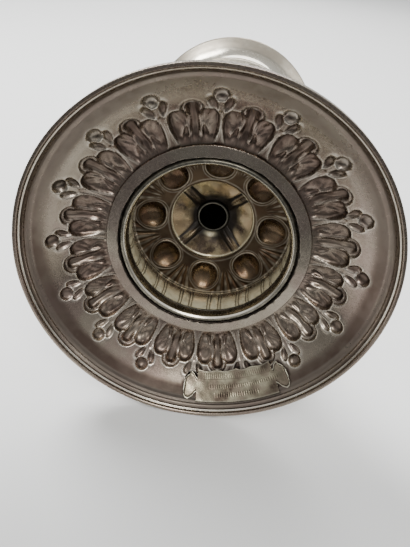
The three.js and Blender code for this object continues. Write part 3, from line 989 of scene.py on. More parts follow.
@dataclass
class MakerPlaque:
    """A thin scroll-ended plate with rows of shallow strokes, bent to the foot's ground."""

    ground: Ground
    step_radius: float
    middle_degrees: float = 69.5
    length: float = 48.0 * MM
    inner_inset: float = 10.0 * MM
    outer_inset: float = 1.0 * MM
    sheet: float = 0.6 * MM
    clearance: float = 0.3 * MM
    panel_share: float = 0.745
    columns: int = 400
    rows: int = 76
    stroke_depth: float = 0.1 * MM
    stroke_half: float = 0.2 * MM
    buckle: float = 0.05 * MM
    edge_drop: float = 0.18 * MM
    end_groove: float = 0.12 * MM
    shadow_reach: float = 1.9 * MM
    sharp_degrees: float = 50.0
    tick_rows: tuple[TickRow, ...] = (
        TickRow(middle=-0.60, start=-0.62, end=0.66, tall=0.17, depth=0.5),
        TickRow(middle=0.06, start=-0.80, end=0.50, tall=0.12, depth=0.8),
        TickRow(middle=0.56, start=-0.40, end=0.40, tall=0.14, depth=1.0),
    )

    def outline(self, along: np.ndarray) -> tuple[np.ndarray, np.ndarray]:
        """The plate's lower and upper edges, as shares of half its height.

        Args:
            along: Places along the plate, from -1 to 1.

        Returns:
            The share on the foot's inner side and the share on its rim side.
        """
        end = np.clip((np.abs(along) - self.panel_share) / (1 - self.panel_share), 0, 1)
        on_panel = np.abs(along) <= self.panel_share
        places = (0.0, 0.12, 0.3, 0.52, 0.62, 0.78, 0.9, 1.0)
        fork_in = np.interp(end, places, (0.42, 0.48, 0.72, 0.84, 0.66, 0.56, 0.40, 0.05))
        fork_out = np.interp(end, places, (0.42, 0.50, 0.72, 0.88, 0.92, 0.86, 0.70, 0.20))
        wave = 0.04 * np.cos(along * 17) + 0.05 * line(along + 0.04, 0.025)
        inner = np.where(on_panel, 0.95 + wave, fork_in)
        outer = np.where(on_panel, 1.0, fork_out)
        return inner, outer

    @property
    def radii(self) -> tuple[float, float]:
        """The plate's place on the ground.

        Returns:
            Its middle radius and half its height.
        """
        outer = self.step_radius - self.outer_inset
        inner = self.ground.outer_radius - self.inner_inset
        return (outer + inner) / 2, (outer - inner) / 2

    def plate_shadow(self, radius: np.ndarray, angle: np.ndarray) -> np.ndarray:
        """How near a place on the ground is to the plate's edge, for a painted shadow round the plate.

        Args:
            radius: The place's radius.
            angle: The place's angle.

        Returns:
            1 under the plate and at its edge, falling to 0 away from it.
        """
        middle, half = self.radii
        turn = np.angle(np.exp(1j * (angle - math.radians(self.middle_degrees))))
        along = turn * middle / (self.length / 2)
        inner, outer = self.outline(np.clip(along, -1, 1))
        off = (radius - middle) / half
        away = np.maximum(np.maximum(off - outer, -inner - off), 0) * half
        away = np.hypot(away, np.clip(np.abs(along) - 1, 0, None) * self.length / 2)
        return ease(1.15 - away / self.shadow_reach)

    def strokes(self, along: np.ndarray, across: np.ndarray) -> np.ndarray:
        """Rows of upright ticks between fine guide lines.

        Args:
            along: Places along the plate, from -1 to 1.
            across: Places across the plate, from -1 to 1.

        Returns:
            Shares of the strokes' full depth.
        """
        draw = np.random.default_rng(SEED + 5)
        half_length, half_height = self.length / 2, self.radii[1]
        x, y = along * half_length, across * half_height
        cut = np.zeros(x.shape)
        for tick in self.tick_rows:
            off = np.abs(y - tick.middle * half_height) / (tick.tall * half_height)
            row = np.clip(1.15 - off ** 6, 0, 1)
            place = tick.start * half_length
            while place < tick.end * half_length:
                cut = np.maximum(cut, tick.depth * row * line(x - place, self.stroke_half))
                place += draw.uniform(0.95, 1.05) * MM
        on_panel = np.abs(along) < self.panel_share - 0.04
        for middle in (-0.36, -0.84):
            cut = np.maximum(cut, 0.25 * line(y - middle * half_height, 0.16 * MM) * on_panel)
        return cut

    def build(self) -> bpy.types.Object:
        """Bends the plate to the ground.

        Returns:
            The piece.
        """
        middle, half = self.radii
        stations, levels = np.linspace(-1, 1, self.columns), np.linspace(-1, 1, self.rows)
        along, across = np.meshgrid(stations, levels, indexing="ij")
        inner, outer = self.outline(along)
        share = (across + 1) / 2
        placed = -inner * (1 - share) + outer * share
        radius = middle + half * placed
        angle = math.radians(self.middle_degrees) + self.length / 2 / middle * along
        tall = (inner + outer) / 2
        edge = np.minimum((1 - np.abs(across)) * tall * half, (1 - np.abs(along)) * self.length / 2)
        on_end = ease((np.abs(along) - self.panel_share + 0.01) / 0.02)
        cut = self.strokes(along, placed)
        groove = line(edge - 0.75 * MM, 0.24 * MM) * on_end
        buckled = self.buckle * (1.2 + ripple(angle * 9, radius, 17, (1, 9), 1.2))
        slope = self.ground.slope
        faces: list[np.ndarray] = []
        for drop in (0.0, 1.0):
            away = self.clearance + drop * self.sheet
            if drop:
                away = away - self.edge_drop * (1 - pressed(edge, 0.3 * MM)) - self.stroke_depth * cut
                away = away - buckled - self.end_groove * groove
            held = radius - away * math.sin(slope)
            height = self.ground.height(radius) - away * math.cos(slope)
            faces.append(np.stack([held * np.cos(angle), held * np.sin(angle), height], axis=-1))
        points = np.concatenate([face.reshape(-1, 3) for face in faces])
        n, m = self.columns, self.rows
        index = np.arange(n * m).reshape(n, m)
        a, b, c, d = index[:-1, :-1], index[1:, :-1], index[1:, 1:], index[:-1, 1:]
        back = np.stack([a, b, c, d], axis=-1).reshape(-1, 4)
        front = np.stack([a, d, c, b], axis=-1).reshape(-1, 4) + n * m
        border = np.concatenate([index[:, 0], index[-1, 1:], index[-2::-1, -1], index[0, -2:0:-1]])
        on = np.roll(border, -1)
        sides = np.column_stack([on, border, border + n * m, on + n * m])
        # A bright line just inside the edge: partly wear, partly painted highlight.
        worn = 0.8 * line(edge - 0.25 * MM, 0.2 * MM) * (0.35 + 0.65 * on_end)
        film = np.clip(0.15 + 0.45 * ripple(angle * 8, radius, 13, (1, 9), 0.9) + 0.25 * placed, 0, 0.9)
        # Dark in the strokes, with a painted shadow line along the very edge.
        grime = np.maximum(0.9 * cut, 0.8 * line(edge, 0.12 * MM))
        grime = np.maximum(grime, 0.9 * groove)
        marks = {Mark.WEAR_AND_HIGHLIGHT: worn, Mark.GRIME_AND_SHADE: grime, Mark.FILM: film}
        marks = {mark: np.concatenate([values.ravel()] * 2) for mark, values in marks.items()}
        piece = mesh_piece("plaque_plate", points, np.concatenate([back, front, sides]).tolist(), marks)
        piece.data.set_sharp_from_angle(angle=math.radians(self.sharp_degrees))
        return piece


@dataclass
class Drum:
    """The collar, the bright ring, the ribbed band and the dome of bosses."""

    collar: Span
    ring: Span
    band: Span
    dome: Span
    opening_radius: float
    ring_wall: float = 3.3 * MM
    ring_bulge: float = 2.4 * MM
    highlight_inset: float = 0.75 * MM
    flange_top: float = 24.2 * MM
    clearance: float = 0.3 * MM
    sheet: float = 1.0 * MM
    groups: int = 16
    group_half: float = 3.0 * MM
    middle_rib: float = 1.45 * MM
    side_rib: float = 2.5 * MM
    seams: tuple[float, ...] = (1.85 * MM, 3.1 * MM)
    rib_rise: float = 0.2 * MM
    pillow: float = 0.7 * MM
    toe: float = 1.2 * MM
    toe_height: float = 4.4 * MM
    bosses: int = 8
    dome_inner: float = 18.8 * MM
    dome_rise: float = 3.6 * MM
    boss_circle: float = 27.1 * MM
    boss_half: float = 6.2 * MM
    boss_depth: float = 2.4 * MM
    boss_rims: tuple[tuple[float, float], ...] = (
        (0.3 * MM, 0.5 * MM), (0.75 * MM, 0.4 * MM), (1.25 * MM, 0.45 * MM))
    collar_columns: int = 480
    ring_columns: int = 288
    band_columns: int = 832
    dome_columns: int = 640
    dome_rows: int = 28

    @property
    def inner_radius(self) -> float:
        """The ring's bore."""
        return self.opening_radius - self.clearance - self.ring_wall

    @property
    def outer_radius(self) -> float:
        """The band's outer radius at its top."""
        return self.dome.radius

    def collar_piece(self) -> bpy.types.Object:
        """Makes the flat ring under the flange, its inner edge ragged with old solder.

        Returns:
            The piece.
        """
        outline = rounded([
            (self.collar.radius - 0.35 * MM, self.collar.bottom, 0.15 * MM),
            (self.collar.radius, self.collar.top, 0.1 * MM),
            (self.opening_radius, self.collar.top, 0.1 * MM),
            (self.opening_radius, self.collar.bottom, 0.15 * MM),
        ], 0.6 * MM)
        skin = Skin("collar_washer")
        angle = columns_round(self.collar_columns)
        solder = 0.16 * MM * np.clip(ripple(angle, 0.0, 3, (9, 80)), 0, 1.5)
        for radius, height in outline:
            inner = (self.collar.radius - radius) / (self.collar.radius - self.opening_radius)
            ragged = solder * ease(inner * 3 - 2)
            dish = 0.05 * MM * ripple(angle, radius, 4, (1, 20))
            under = 1.0 if height < self.collar.bottom + 0.3 * MM else 0.0
            # Film with painted shade: heavier on the side opposite IMAGE_BOTTOM and in a patch at about 140
            # degrees.
            film = 0.1 - 0.1 * np.sin(angle) + line(angle - 2.45, 0.5)
            film = film + 0.16 * ripple(angle, radius, 14, (1, 14))
            # A painted highlight line along the outer edge, over light wear with a faint painted sheen at
            # the top and bottom sides.
            worn = np.maximum(0.8 * line(inner, 0.07), 0.12 + 0.06 * np.abs(np.sin(angle)) ** 3) * under
            skin.ring(
                radius + ragged, height + np.clip(dish, 0, 1) * under, angle, film=film, worn=worn,
                grime=np.clip(inner * 8 - 7.5 + 0.7 * ripple(angle, 0.0, 15, (5, 60)), 0, 1))
        return skin.build()

    def ring_piece(self) -> bpy.types.Object:
        """Makes the bright round moulding that stands in the foot's opening.

        Returns:
            The piece.
        """
        neck = self.opening_radius - self.clearance
        seat = self.flange_top + self.clearance
        middle = (neck + self.inner_radius) / 2
        outline = rounded([
            (self.inner_radius, self.ring.bottom + 3.0 * MM, 1.4 * MM),
            (self.inner_radius + 0.45 * MM, self.ring.bottom + 0.9 * MM, 1.1 * MM),
            (self.inner_radius + 1.3 * MM, self.ring.bottom, 0.7 * MM),
            (neck - 1.0 * MM, self.ring.bottom + 0.1 * MM, 0.7 * MM),
            (neck, self.ring.bottom + 1.1 * MM, 0.9 * MM),
            (neck, seat, 0.1 * MM),
            (neck + self.ring_bulge * 0.8, seat, 0.6 * MM),
            (neck + self.ring_bulge, seat + 1.6 * MM, 1.0 * MM),
            (neck + self.ring_bulge * 0.6, seat + 2.6 * MM, 0.8 * MM),
            (neck, self.ring.top, 0.5 * MM),
            (self.inner_radius, self.ring.top, 0.15 * MM),
            (self.inner_radius, self.ring.top - 0.7 * MM, 0.1 * MM),
            (self.inner_radius + 0.3 * MM, self.ring.top - 0.9 * MM, 0.1 * MM),
            (self.inner_radius, self.ring.top - 1.3 * MM, 0.2 * MM),
        ], 0.3 * MM)
        skin = Skin("drum_ring_bead")
        angle = columns_round(self.ring_columns)
        # Painted shadow in the gap under the flange, broken up round the ring.
        gap = np.clip(0.6 + 0.7 * ripple(angle, 0.0, 17, (3, 60)), 0, 1)
        for radius, height in outline:
            outside = radius > middle + 1.4 * MM and height < seat + 0.1 * MM
            joint = line(height - self.ring.top + 0.9 * MM, 0.35 * MM) if radius < middle else 0.0
            wobble = 0.0 if outside else 0.025 * MM * ripple(angle, height, 6, (1, 7))
            low = height < seat
            # A painted highlight line on the inner flank, where the film is left off.
            crest_highlight = line(radius - self.inner_radius - self.highlight_inset, 0.48 * MM) if low else 0.0
            side = ease((radius - middle - 0.2 * MM) / (1.2 * MM)) if low else 0.0
            # Painted shade on the outer flank, stronger on the side opposite IMAGE_BOTTOM.
            shade = side * (0.35 + 0.5 * np.clip(-np.sin(angle), 0, 1))
            skin.ring(
                radius + wobble, height, angle, film=0.9 * (1 - crest_highlight), worn=0.7 * crest_highlight,
                grime=gap if outside else np.maximum(shade, joint))
        return skin.build()

    def band_piece(self) -> bpy.types.Object:
        """Makes the upright strip of panels and ribs.

        Returns:
            The piece.
        """
        bottom_radius = self.inner_radius
        top_radius = self.outer_radius - self.sheet
        lean = (top_radius - bottom_radius) / self.band.height
        angle = columns_round(self.band_columns)
        share = within_repeat(angle, self.groups, IMAGE_BOTTOM + math.pi / self.groups)
        aside = np.abs(share * FULL_TURN / self.groups * (bottom_radius + top_radius) / 2)
        raised = ease((self.group_half + 0.1 * MM - aside) / (0.3 * MM))
        ribs = line(aside - self.side_rib, 0.26 * MM) + np.clip(1 - (aside / self.middle_rib) ** 2, 0, 1)
        seams = sum(line(aside - place, 0.27 * MM) for place in self.seams)
        skin = Skin("drum_band_strip")
        outline = rounded([
            (bottom_radius + self.sheet, self.band.bottom, 0.1 * MM),
            (top_radius + self.sheet, self.band.top, 0.1 * MM),
            (top_radius, self.band.top, 0.1 * MM),
            (bottom_radius, self.band.bottom, 0.1 * MM),
        ], 0.6 * MM)
        for radius, height in outline:
            middle = bottom_radius + lean * (height - self.band.bottom) + self.sheet / 2
            outer = 1.0 if radius > middle else -1.0
            from_bottom, from_top = height - self.band.bottom, self.band.top - height
            ends = ease(min(from_bottom, from_top) / (1.0 * MM))
            pillow = 4 * self.pillow * from_bottom * from_top / self.band.height ** 2
            joint = line(from_top - 1.0 * MM, 0.35 * MM)
            curl = self.toe * max(1 - from_bottom / self.toe_height, 0.0) ** 2
            push = ends * (self.rib_rise * raised + outer * self.rib_rise * (ribs - seams))
            push = push + outer * 0.25 * MM * joint - pillow + curl
            # The panels' lower part takes a painted highlight and their upper part painted shade; the seams
            # stay dark and the top edge is darker.
            high = ease(1.5 * from_bottom / self.band.height - 0.35)
            worn = np.clip(1.0 - 1.3 * high + 0.5 * ribs * (1 - high), 0, 1)
            worn = worn * (1 - np.clip(1.2 * seams, 0, 1))
            skin.ring(
                radius + push, height, angle,
                film=(0.9 * high + 0.25 * seams) * (1 - joint), worn=worn * ends * (1 - joint) + joint,
                grime=np.clip(seams * ends * (1 - joint) + 0.6 * ease(1 - from_top / (0.8 * MM)), 0, 1))
        return skin.build()

    def dome_relief(self, radius: float, angle: np.ndarray) -> tuple[np.ndarray, np.ndarray]:
        """The dome's chased work at a radius.

        Args:
            radius: The radius.
            angle: Angles about the axis.

        Returns:
            The depth, and the wear with painted highlights.
        """
        share = within_repeat(angle, self.bosses, IMAGE_BOTTOM)
        aside = share * FULL_TURN / self.bosses * radius
        from_boss = np.hypot(aside, radius - self.boss_circle)
        button = self.boss_depth * np.clip(1 - (from_boss / self.boss_half) ** 2, 0, 1) ** 0.85
        dimple = 0.1 * MM * ripple(angle, radius, 8, (8, 50), 0.5) * (from_boss < self.boss_half)
        from_edge = from_boss - self.boss_half
        first, trough, second = (
            height * line(from_edge - place, 0.26 * MM) for place, height in self.boss_rims)
        gap = ease((from_edge - 1.5 * MM) / (0.6 * MM))
        between = (0.5 - np.abs(share)) * FULL_TURN / self.bosses * radius
        fan = np.arctan2(between, radius - self.dome_inner - 3.0 * MM)
        leaf = 0.4 * MM * np.cos(fan * 22) * gap * ease((radius - self.dome_inner - 5 * MM) / (3 * MM))
        ring = 0.45 * MM * line(radius - self.dome_inner - 0.9 * MM, 0.3 * MM)
        depth = button + dimple - first + trough - second + leaf - ring
        # Bright lines on the bosses' rims, crescents strongest on the side towards the axis, broken fan
        # lines and lines on the inner ring and near the outer edge: partly wear, partly painted highlight.
        highlight_side = np.clip((self.boss_circle - radius) / np.maximum(from_boss, MM), 0, 1)
        leaf = leaf * np.clip(0.75 + 0.6 * ripple(angle, radius, 18, (5, 40), 1.5), 0.1, 1.5)
        worn = line(from_edge - self.boss_rims[0][0], 0.22 * MM) * (0.35 + 0.65 * highlight_side)
        worn = worn + 0.5 * line(from_edge - self.boss_rims[2][0], 0.22 * MM)
        worn = worn - np.minimum(leaf, 0) / (0.9 * MM) + ring / (0.7 * MM)
        worn = worn + line(self.outer_radius - radius - 1.3 * MM, 0.3 * MM)
        return depth, np.clip(worn, 0, 1)

    def dome_piece(self) -> bpy.types.Object:
        """Makes the shallow dome with its round bosses.

        Returns:
            The piece.
        """
        skin = Skin("boss_dome_sheet")
        inner, outer, rise = self.dome_inner, self.outer_radius, self.dome_rise
        angle = columns_round(self.dome_columns)
        for over in (True, False):
            radii = np.linspace(outer, inner, self.dome_rows * (1 if over else 2))
            for radius in radii if over else radii[::-1]:
                share = (outer - radius) / (outer - inner)
                ends = ease(min(share, 1 - share) * 12)
                depth, worn = self.dome_relief(radius, angle)
                depth = depth * ends
                floor = self.dome.bottom + rise * share
                skin.ring(
                    radius, np.maximum(floor + depth + (self.sheet if over else 0), floor), angle,
                    worn=worn * ends * 0.8, grime=np.clip(0.5 - depth / (1.6 * MM), 0, 1) * 0.8)
        return skin.build()


@dataclass
class Stem:
    """The four-lobed flare, the lower and the upper stem and the knop between them."""

    flare: Span
    lower: Span
    knop: Span
    upper: Span
    tube_radius: float = 6.2 * MM
    sheet: float = 1.0 * MM
    clearance: float = 0.3 * MM
    lobes: int = 4
    flare_rise: float = 5.4 * MM
    flare_bow: float = 0.9 * MM
    lobe_depth: float = 1.25 * MM
    spoke_half: float = 2.15 * MM
    painted_shade_radius: float = 13.4 * MM
    ring_radius: float = 10.0 * MM
    ring_height: float = 2.6 * MM
    waist_radius: float = 7.7 * MM
    gadroons: int = 16
    gadroon_rise: float = 1.1 * MM
    flare_columns: int = 480
    flare_rows: int = 22
    tube_columns: int = 160
    knop_columns: int = 512
    knop_rows: int = 57

    def flare_piece(self) -> bpy.types.Object:
        """Makes the spreading base with hollow lobes between folded spokes.

        Returns:
            The piece.
        """
        skin = Skin("stem_flare_sheet")
        inner = self.tube_radius + self.sheet + self.clearance
        outer = self.flare.radius
        angle = columns_round(self.flare_columns)
        off_spoke = 0.5 - np.abs(within_repeat(angle, self.lobes, IMAGE_BOTTOM))
        from_right = np.angle(np.exp(1j * angle))
        for over in (True, False):
            shares = np.linspace(1, 0, self.flare_rows * (1 if over else 2))
            for share in shares if over else shares[::-1]:
                radius = inner + (outer - inner) * share
                rise = self.flare_rise * (1 - share) - 4 * self.flare_bow * share * (1 - share)
                from_spoke = off_spoke * FULL_TURN / self.lobes * radius
                spoke = self.spoke_half * (0.95 + 0.05 * share)
                lobe = pressed(from_spoke - spoke, 4.5 * MM)
                body = float(np.clip(4 * share * (1 - share), 0, 1)) ** 0.6
                dent = 0.22 * MM * ripple(angle, radius, 9, (2, 13), 0.7)
                groove = 0.5 * MM * line(from_spoke - spoke, (0.45 + 0.5 * (1 - share)) * MM)
                crease = 0.3 * MM * line(from_spoke, 0.3 * MM)
                depth = body * (self.lobe_depth * lobe + dent + groove - 0.1 * MM + crease)
                border = line(outer - radius - 1.3 * MM, 0.3 * MM)
                height = self.flare.bottom + rise + depth + (self.sheet if over else -0.3 * MM * border)
                # The film is heavier on the lobe at IMAGE_BOTTOM and towards the right as painted shade,
                # with a lighter patch near that lobe's inner end.
                stain = 1.5 * swell((angle - IMAGE_BOTTOM) / 0.95) * swell((share - 0.55) / 0.75)
                lighter_patch = swell((angle - IMAGE_BOTTOM) / 0.5) * swell((share - 0.12) / 0.14)
                stain = stain + 0.55 * swell((from_right - 0.2) / 0.8) * swell((share - 0.35) / 0.4)
                film = 0.85 * ease((spoke - from_spoke) / (0.3 * MM)) + stain + 0.1
                film = film + 0.4 * ripple(angle, radius, 16, (2, 12), 0.6)
                # Painted shade darkening the flare towards the tube.
                painted_shade = 1.1 * ease((self.painted_shade_radius + 0.9 * MM * np.cos(angle) - radius) / (4.5 * MM))
                # The folds beside the spokes are darkened with a painted shadow.
                skin.ring(
                    radius, np.maximum(height, self.flare.bottom), angle,
                    worn=np.clip(0.7 * border + 0.5 * lighter_patch, 0, 1), film=np.clip(film, 0, 1),
                    grime=np.clip(groove / (0.35 * MM) + painted_shade * (1 - lighter_patch), 0, 1))
        return skin.build()

    def tube_piece(self, name: str, span: Span, seat: float, base_radius: float) -> bpy.types.Object:
        """Makes a stem piece: a tube with a base, a waist and a ring at its top.

        Args:
            name: The piece's name.
            span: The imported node's span.
            seat: Height of the base's underside.
            base_radius: Radius of the base.

        Returns:
            The piece.
        """
        tall = span.top - seat
        tail = [] if seat <= span.bottom + 1e-6 else [
            (self.tube_radius + self.sheet, span.bottom, 0.25 * MM),
            (self.tube_radius + self.sheet, seat, 0.1 * MM),
        ]
        outline = rounded([
            *tail,
            (base_radius, seat, 0.5 * MM),
            (base_radius, seat + self.ring_height * 0.7, 0.8 * MM),
            (base_radius - 0.9 * MM, seat + self.ring_height, 0.3 * MM),
            (base_radius - 1.6 * MM, seat + self.ring_height * 1.5, 0.8 * MM),
            (self.waist_radius, seat + tall * 0.40, 6 * MM),
            (self.waist_radius, seat + tall * 0.65, 5 * MM),
            (self.ring_radius - 0.8 * MM, span.top - self.ring_height * 1.2, 0.5 * MM),
            (self.ring_radius, span.top - self.ring_height * 0.9, 0.8 * MM),
            (self.ring_radius, span.top, 0.5 * MM),
            (self.tube_radius, span.top, 0.2 * MM),
            (self.tube_radius, span.bottom, 0.2 * MM),
        ], 0.8 * MM)
        skin = Skin(name)
        angle = columns_round(self.tube_columns)
        for radius, height in outline:
            # The bore, the tail below the seat and the base's underside are darkened with painted shade.
            bore = radius < self.tube_radius + 0.15 * MM
            hidden = height < seat + 0.1 * MM and radius > self.tube_radius + 0.4 * MM
            skin.ring(radius, height, angle, film=float(height < seat), grime=float(bore or hidden))
        return skin.build()

    def knop_piece(self) -> bpy.types.Object:
        """Makes the hollow knop with gadroons above and below its girdle.

        Returns:
            The piece.
        """
        middle = (self.knop.top + self.knop.bottom) / 2
        half = self.knop.height / 2
        girdle = self.knop.radius - 0.8 * MM
        hole = self.tube_radius + self.sheet
        angles = np.linspace(-math.pi / 2, math.pi / 2, self.knop_rows)
        outside = [
            (self.ring_radius + (girdle - self.ring_radius) * math.cos(a), middle + half * math.sin(a))
            for a in angles]
        inner_ball = girdle - self.sheet
        inside = [
            (self.ring_radius - self.sheet + (inner_ball - self.ring_radius + self.sheet) * math.cos(a),
             middle + (half - self.sheet) * math.sin(a)) for a in angles[::-4]]
        skin = Skin("knop_ball")
        angle = columns_round(self.knop_columns)
        share = within_repeat(angle, self.gadroons, IMAGE_BOTTOM)
        flute = np.sqrt(np.clip(1 - (2 * np.abs(share)) ** 2.2, 0, 1))
        for radius, height in outside:
            rise = abs(height - middle) / half
            body = swell((rise - 0.55) / 0.42)
            bead = 0.7 * MM * line(rise, 0.1) + 0.25 * MM * line(rise - 0.17, 0.03)
            skin.ring(
                radius + self.gadroon_rise * body * (flute - 0.35) + bead, height, angle,
                grime=0.8 * body * (1 - flute) ** 2, worn=0.3 * body * flute)
        for radius, height in [(hole, self.knop.top), (hole, self.knop.top - self.sheet), *inside,
                               (hole, self.knop.bottom + self.sheet), (hole, self.knop.bottom)]:
            skin.ring(radius, height, angle)
        return skin.build()


@dataclass
class Cup:
    """The hollow bell-shaped bowl with a spreading lip."""

    span: Span
    base_radius: float = 10.0 * MM
    belly_radius: float = 45.5 * MM
    belly_rise: float = 46.0 * MM
    belly_spread: float = 1.2 * MM
    flare_height: float = 18.0 * MM
    bead: float = 0.6 * MM
    bead_height: float = 1.2 * MM
    crease_drop: float = 6.8 * MM
    crease: float = 0.15 * MM
    sheet: float = 1.0 * MM
    columns: int = 256
    bowl_rows: int = 40
    wall_rows: int = 26

    def section(self, inset: float, floor: float) -> np.ndarray:
        """The bowl's section on one face, from the base to under the lip's bead.

        Args:
            inset: How far the face lies inside the outer one.
            floor: Height of the bowl's lowest point on this face.

        Returns:
            Radius and height of its points.
        """
        belly = self.span.bottom + self.belly_rise
        start = self.span.top - self.flare_height
        quarter = np.linspace(0.0, math.pi / 2, self.bowl_rows)[1:]
        radius = self.base_radius + (self.belly_radius - inset - self.base_radius) * np.sin(quarter)
        bowl = np.column_stack([radius, belly - (belly - floor) * np.cos(quarter)])
        neck = self.belly_radius + self.belly_spread
        rise = np.linspace(0.0, 1.0, self.wall_rows)[1:]
        wall = np.column_stack([
            self.belly_radius - inset + self.belly_spread * rise ** 1.6, belly + (start - belly) * rise])
        spread = neck - inset + 0.9 * MM * rise + (self.span.radius - neck - 0.9 * MM) * rise ** 2
        lip = np.column_stack([spread, start + (self.flare_height - self.bead_height) * rise])
        return np.concatenate([bowl, wall, lip])

    def build(self) -> bpy.types.Object:
        """Makes the cup.

        Returns:
            The piece.
        """
        skin = Skin("cup_bell")
        angle = columns_round(self.columns)
        top, rim = self.span.top, self.span.radius
        skin.pole(self.span.bottom)
        for radius, height in rounded([
            (self.base_radius * 0.5, self.span.bottom, 0.0),
            (self.base_radius, self.span.bottom, 0.4 * MM),
            (self.base_radius, self.span.bottom + self.sheet, 0.0),
        ], 2 * MM, closed=False):
            skin.ring(radius, height, angle)
        for radius, height in self.section(0.0, self.span.bottom + self.sheet):
            past = height - top + self.crease_drop
            crease = line(past, 0.6 * MM)
            satin = max(ease(past / MM), 0.6 * ease(past / (7 * MM) + 1))
            radius = min(radius, rim - 0.15 * MM) - self.crease * crease
            # The dark line along the crease where the lip begins is a painted reflection.
            skin.ring(radius, height, angle, film=satin, grime=0.5 * crease)
        for radius, height in rounded([
            (rim - 0.1 * MM, top - self.bead_height, 0.0),
            (rim, top - self.bead_height * 0.7, 0.2 * MM),
            (rim, top, 0.35 * MM),
            (rim - self.sheet - self.bead, top, 0.35 * MM),
            (rim - self.sheet - self.bead - 0.3 * MM, top - self.bead_height, 0.0),
        ], 0.3 * MM, closed=False):
            skin.ring(radius, height, angle, film=0.6)
        for radius, height in self.section(self.sheet, self.span.bottom + 2 * self.sheet)[-2::-1]:
            skin.ring(radius - (0.25 * MM if height > top - self.flare_height else 0.0), height, angle)
        skin.pole(self.span.bottom + 2 * self.sheet)
        return skin.build()


@dataclass(frozen=True)
class PhotoCamera:
    """The photograph's camera, found from the foot's circles. Its lengths are in the chalice's frame."""

    focal_px: float = 522.4
    width_px: int = 410
    height_px: int = 547
    centre_px: tuple[float, float] = (188.6, 317.0)
    tilt_degrees: float = 34.74
    lean_degrees: float = -78.60
    spin_degrees: float = 3.0
    foot_offset: tuple[float, float, float] = (5.06 * MM, -15.49 * MM, 194.93 * MM)
    sensor: float = 36.0

    def place(self) -> bpy.types.Object:
        """Sets the camera where the photograph was taken from.

        Returns:
            The camera.
        """
        degrees = (self.tilt_degrees, self.lean_degrees, self.spin_degrees)
        tilt, lean, spin = (math.radians(a) for a in degrees)
        up_axis = Vector((math.sin(tilt) * math.cos(lean), math.sin(tilt) * math.sin(lean), math.cos(tilt)))
        first = Vector((-math.sin(lean), math.cos(lean), 0.0))
        second = up_axis.cross(first)
        x_axis = first * math.cos(spin) - second * math.sin(spin)
        y_axis = first * math.sin(spin) + second * math.cos(spin)
        seen = Matrix((x_axis, y_axis, up_axis)).transposed()
        to_blender = Matrix(((1, 0, 0), (0, -1, 0), (0, 0, -1)))
        turn = (to_blender @ seen).transposed()
        where = -(seen.transposed() @ Vector(self.foot_offset))
        data = bpy.data.cameras.new("photo_camera")
        data.sensor_width = self.sensor
        data.lens = self.focal_px / self.height_px * self.sensor
        data.shift_x = (self.width_px / 2 - self.centre_px[0]) / self.height_px
        data.shift_y = (self.centre_px[1] - self.height_px / 2) / self.height_px
        data.clip_start, data.clip_end = 0.01, 20.0
        camera = bpy.data.objects.new("photo_camera", data)
        camera.matrix_world = Matrix.Translation(where) @ turn.to_4x4()
        bpy.context.scene.collection.objects.link(camera)
        bpy.context.scene.camera = camera
        return camera


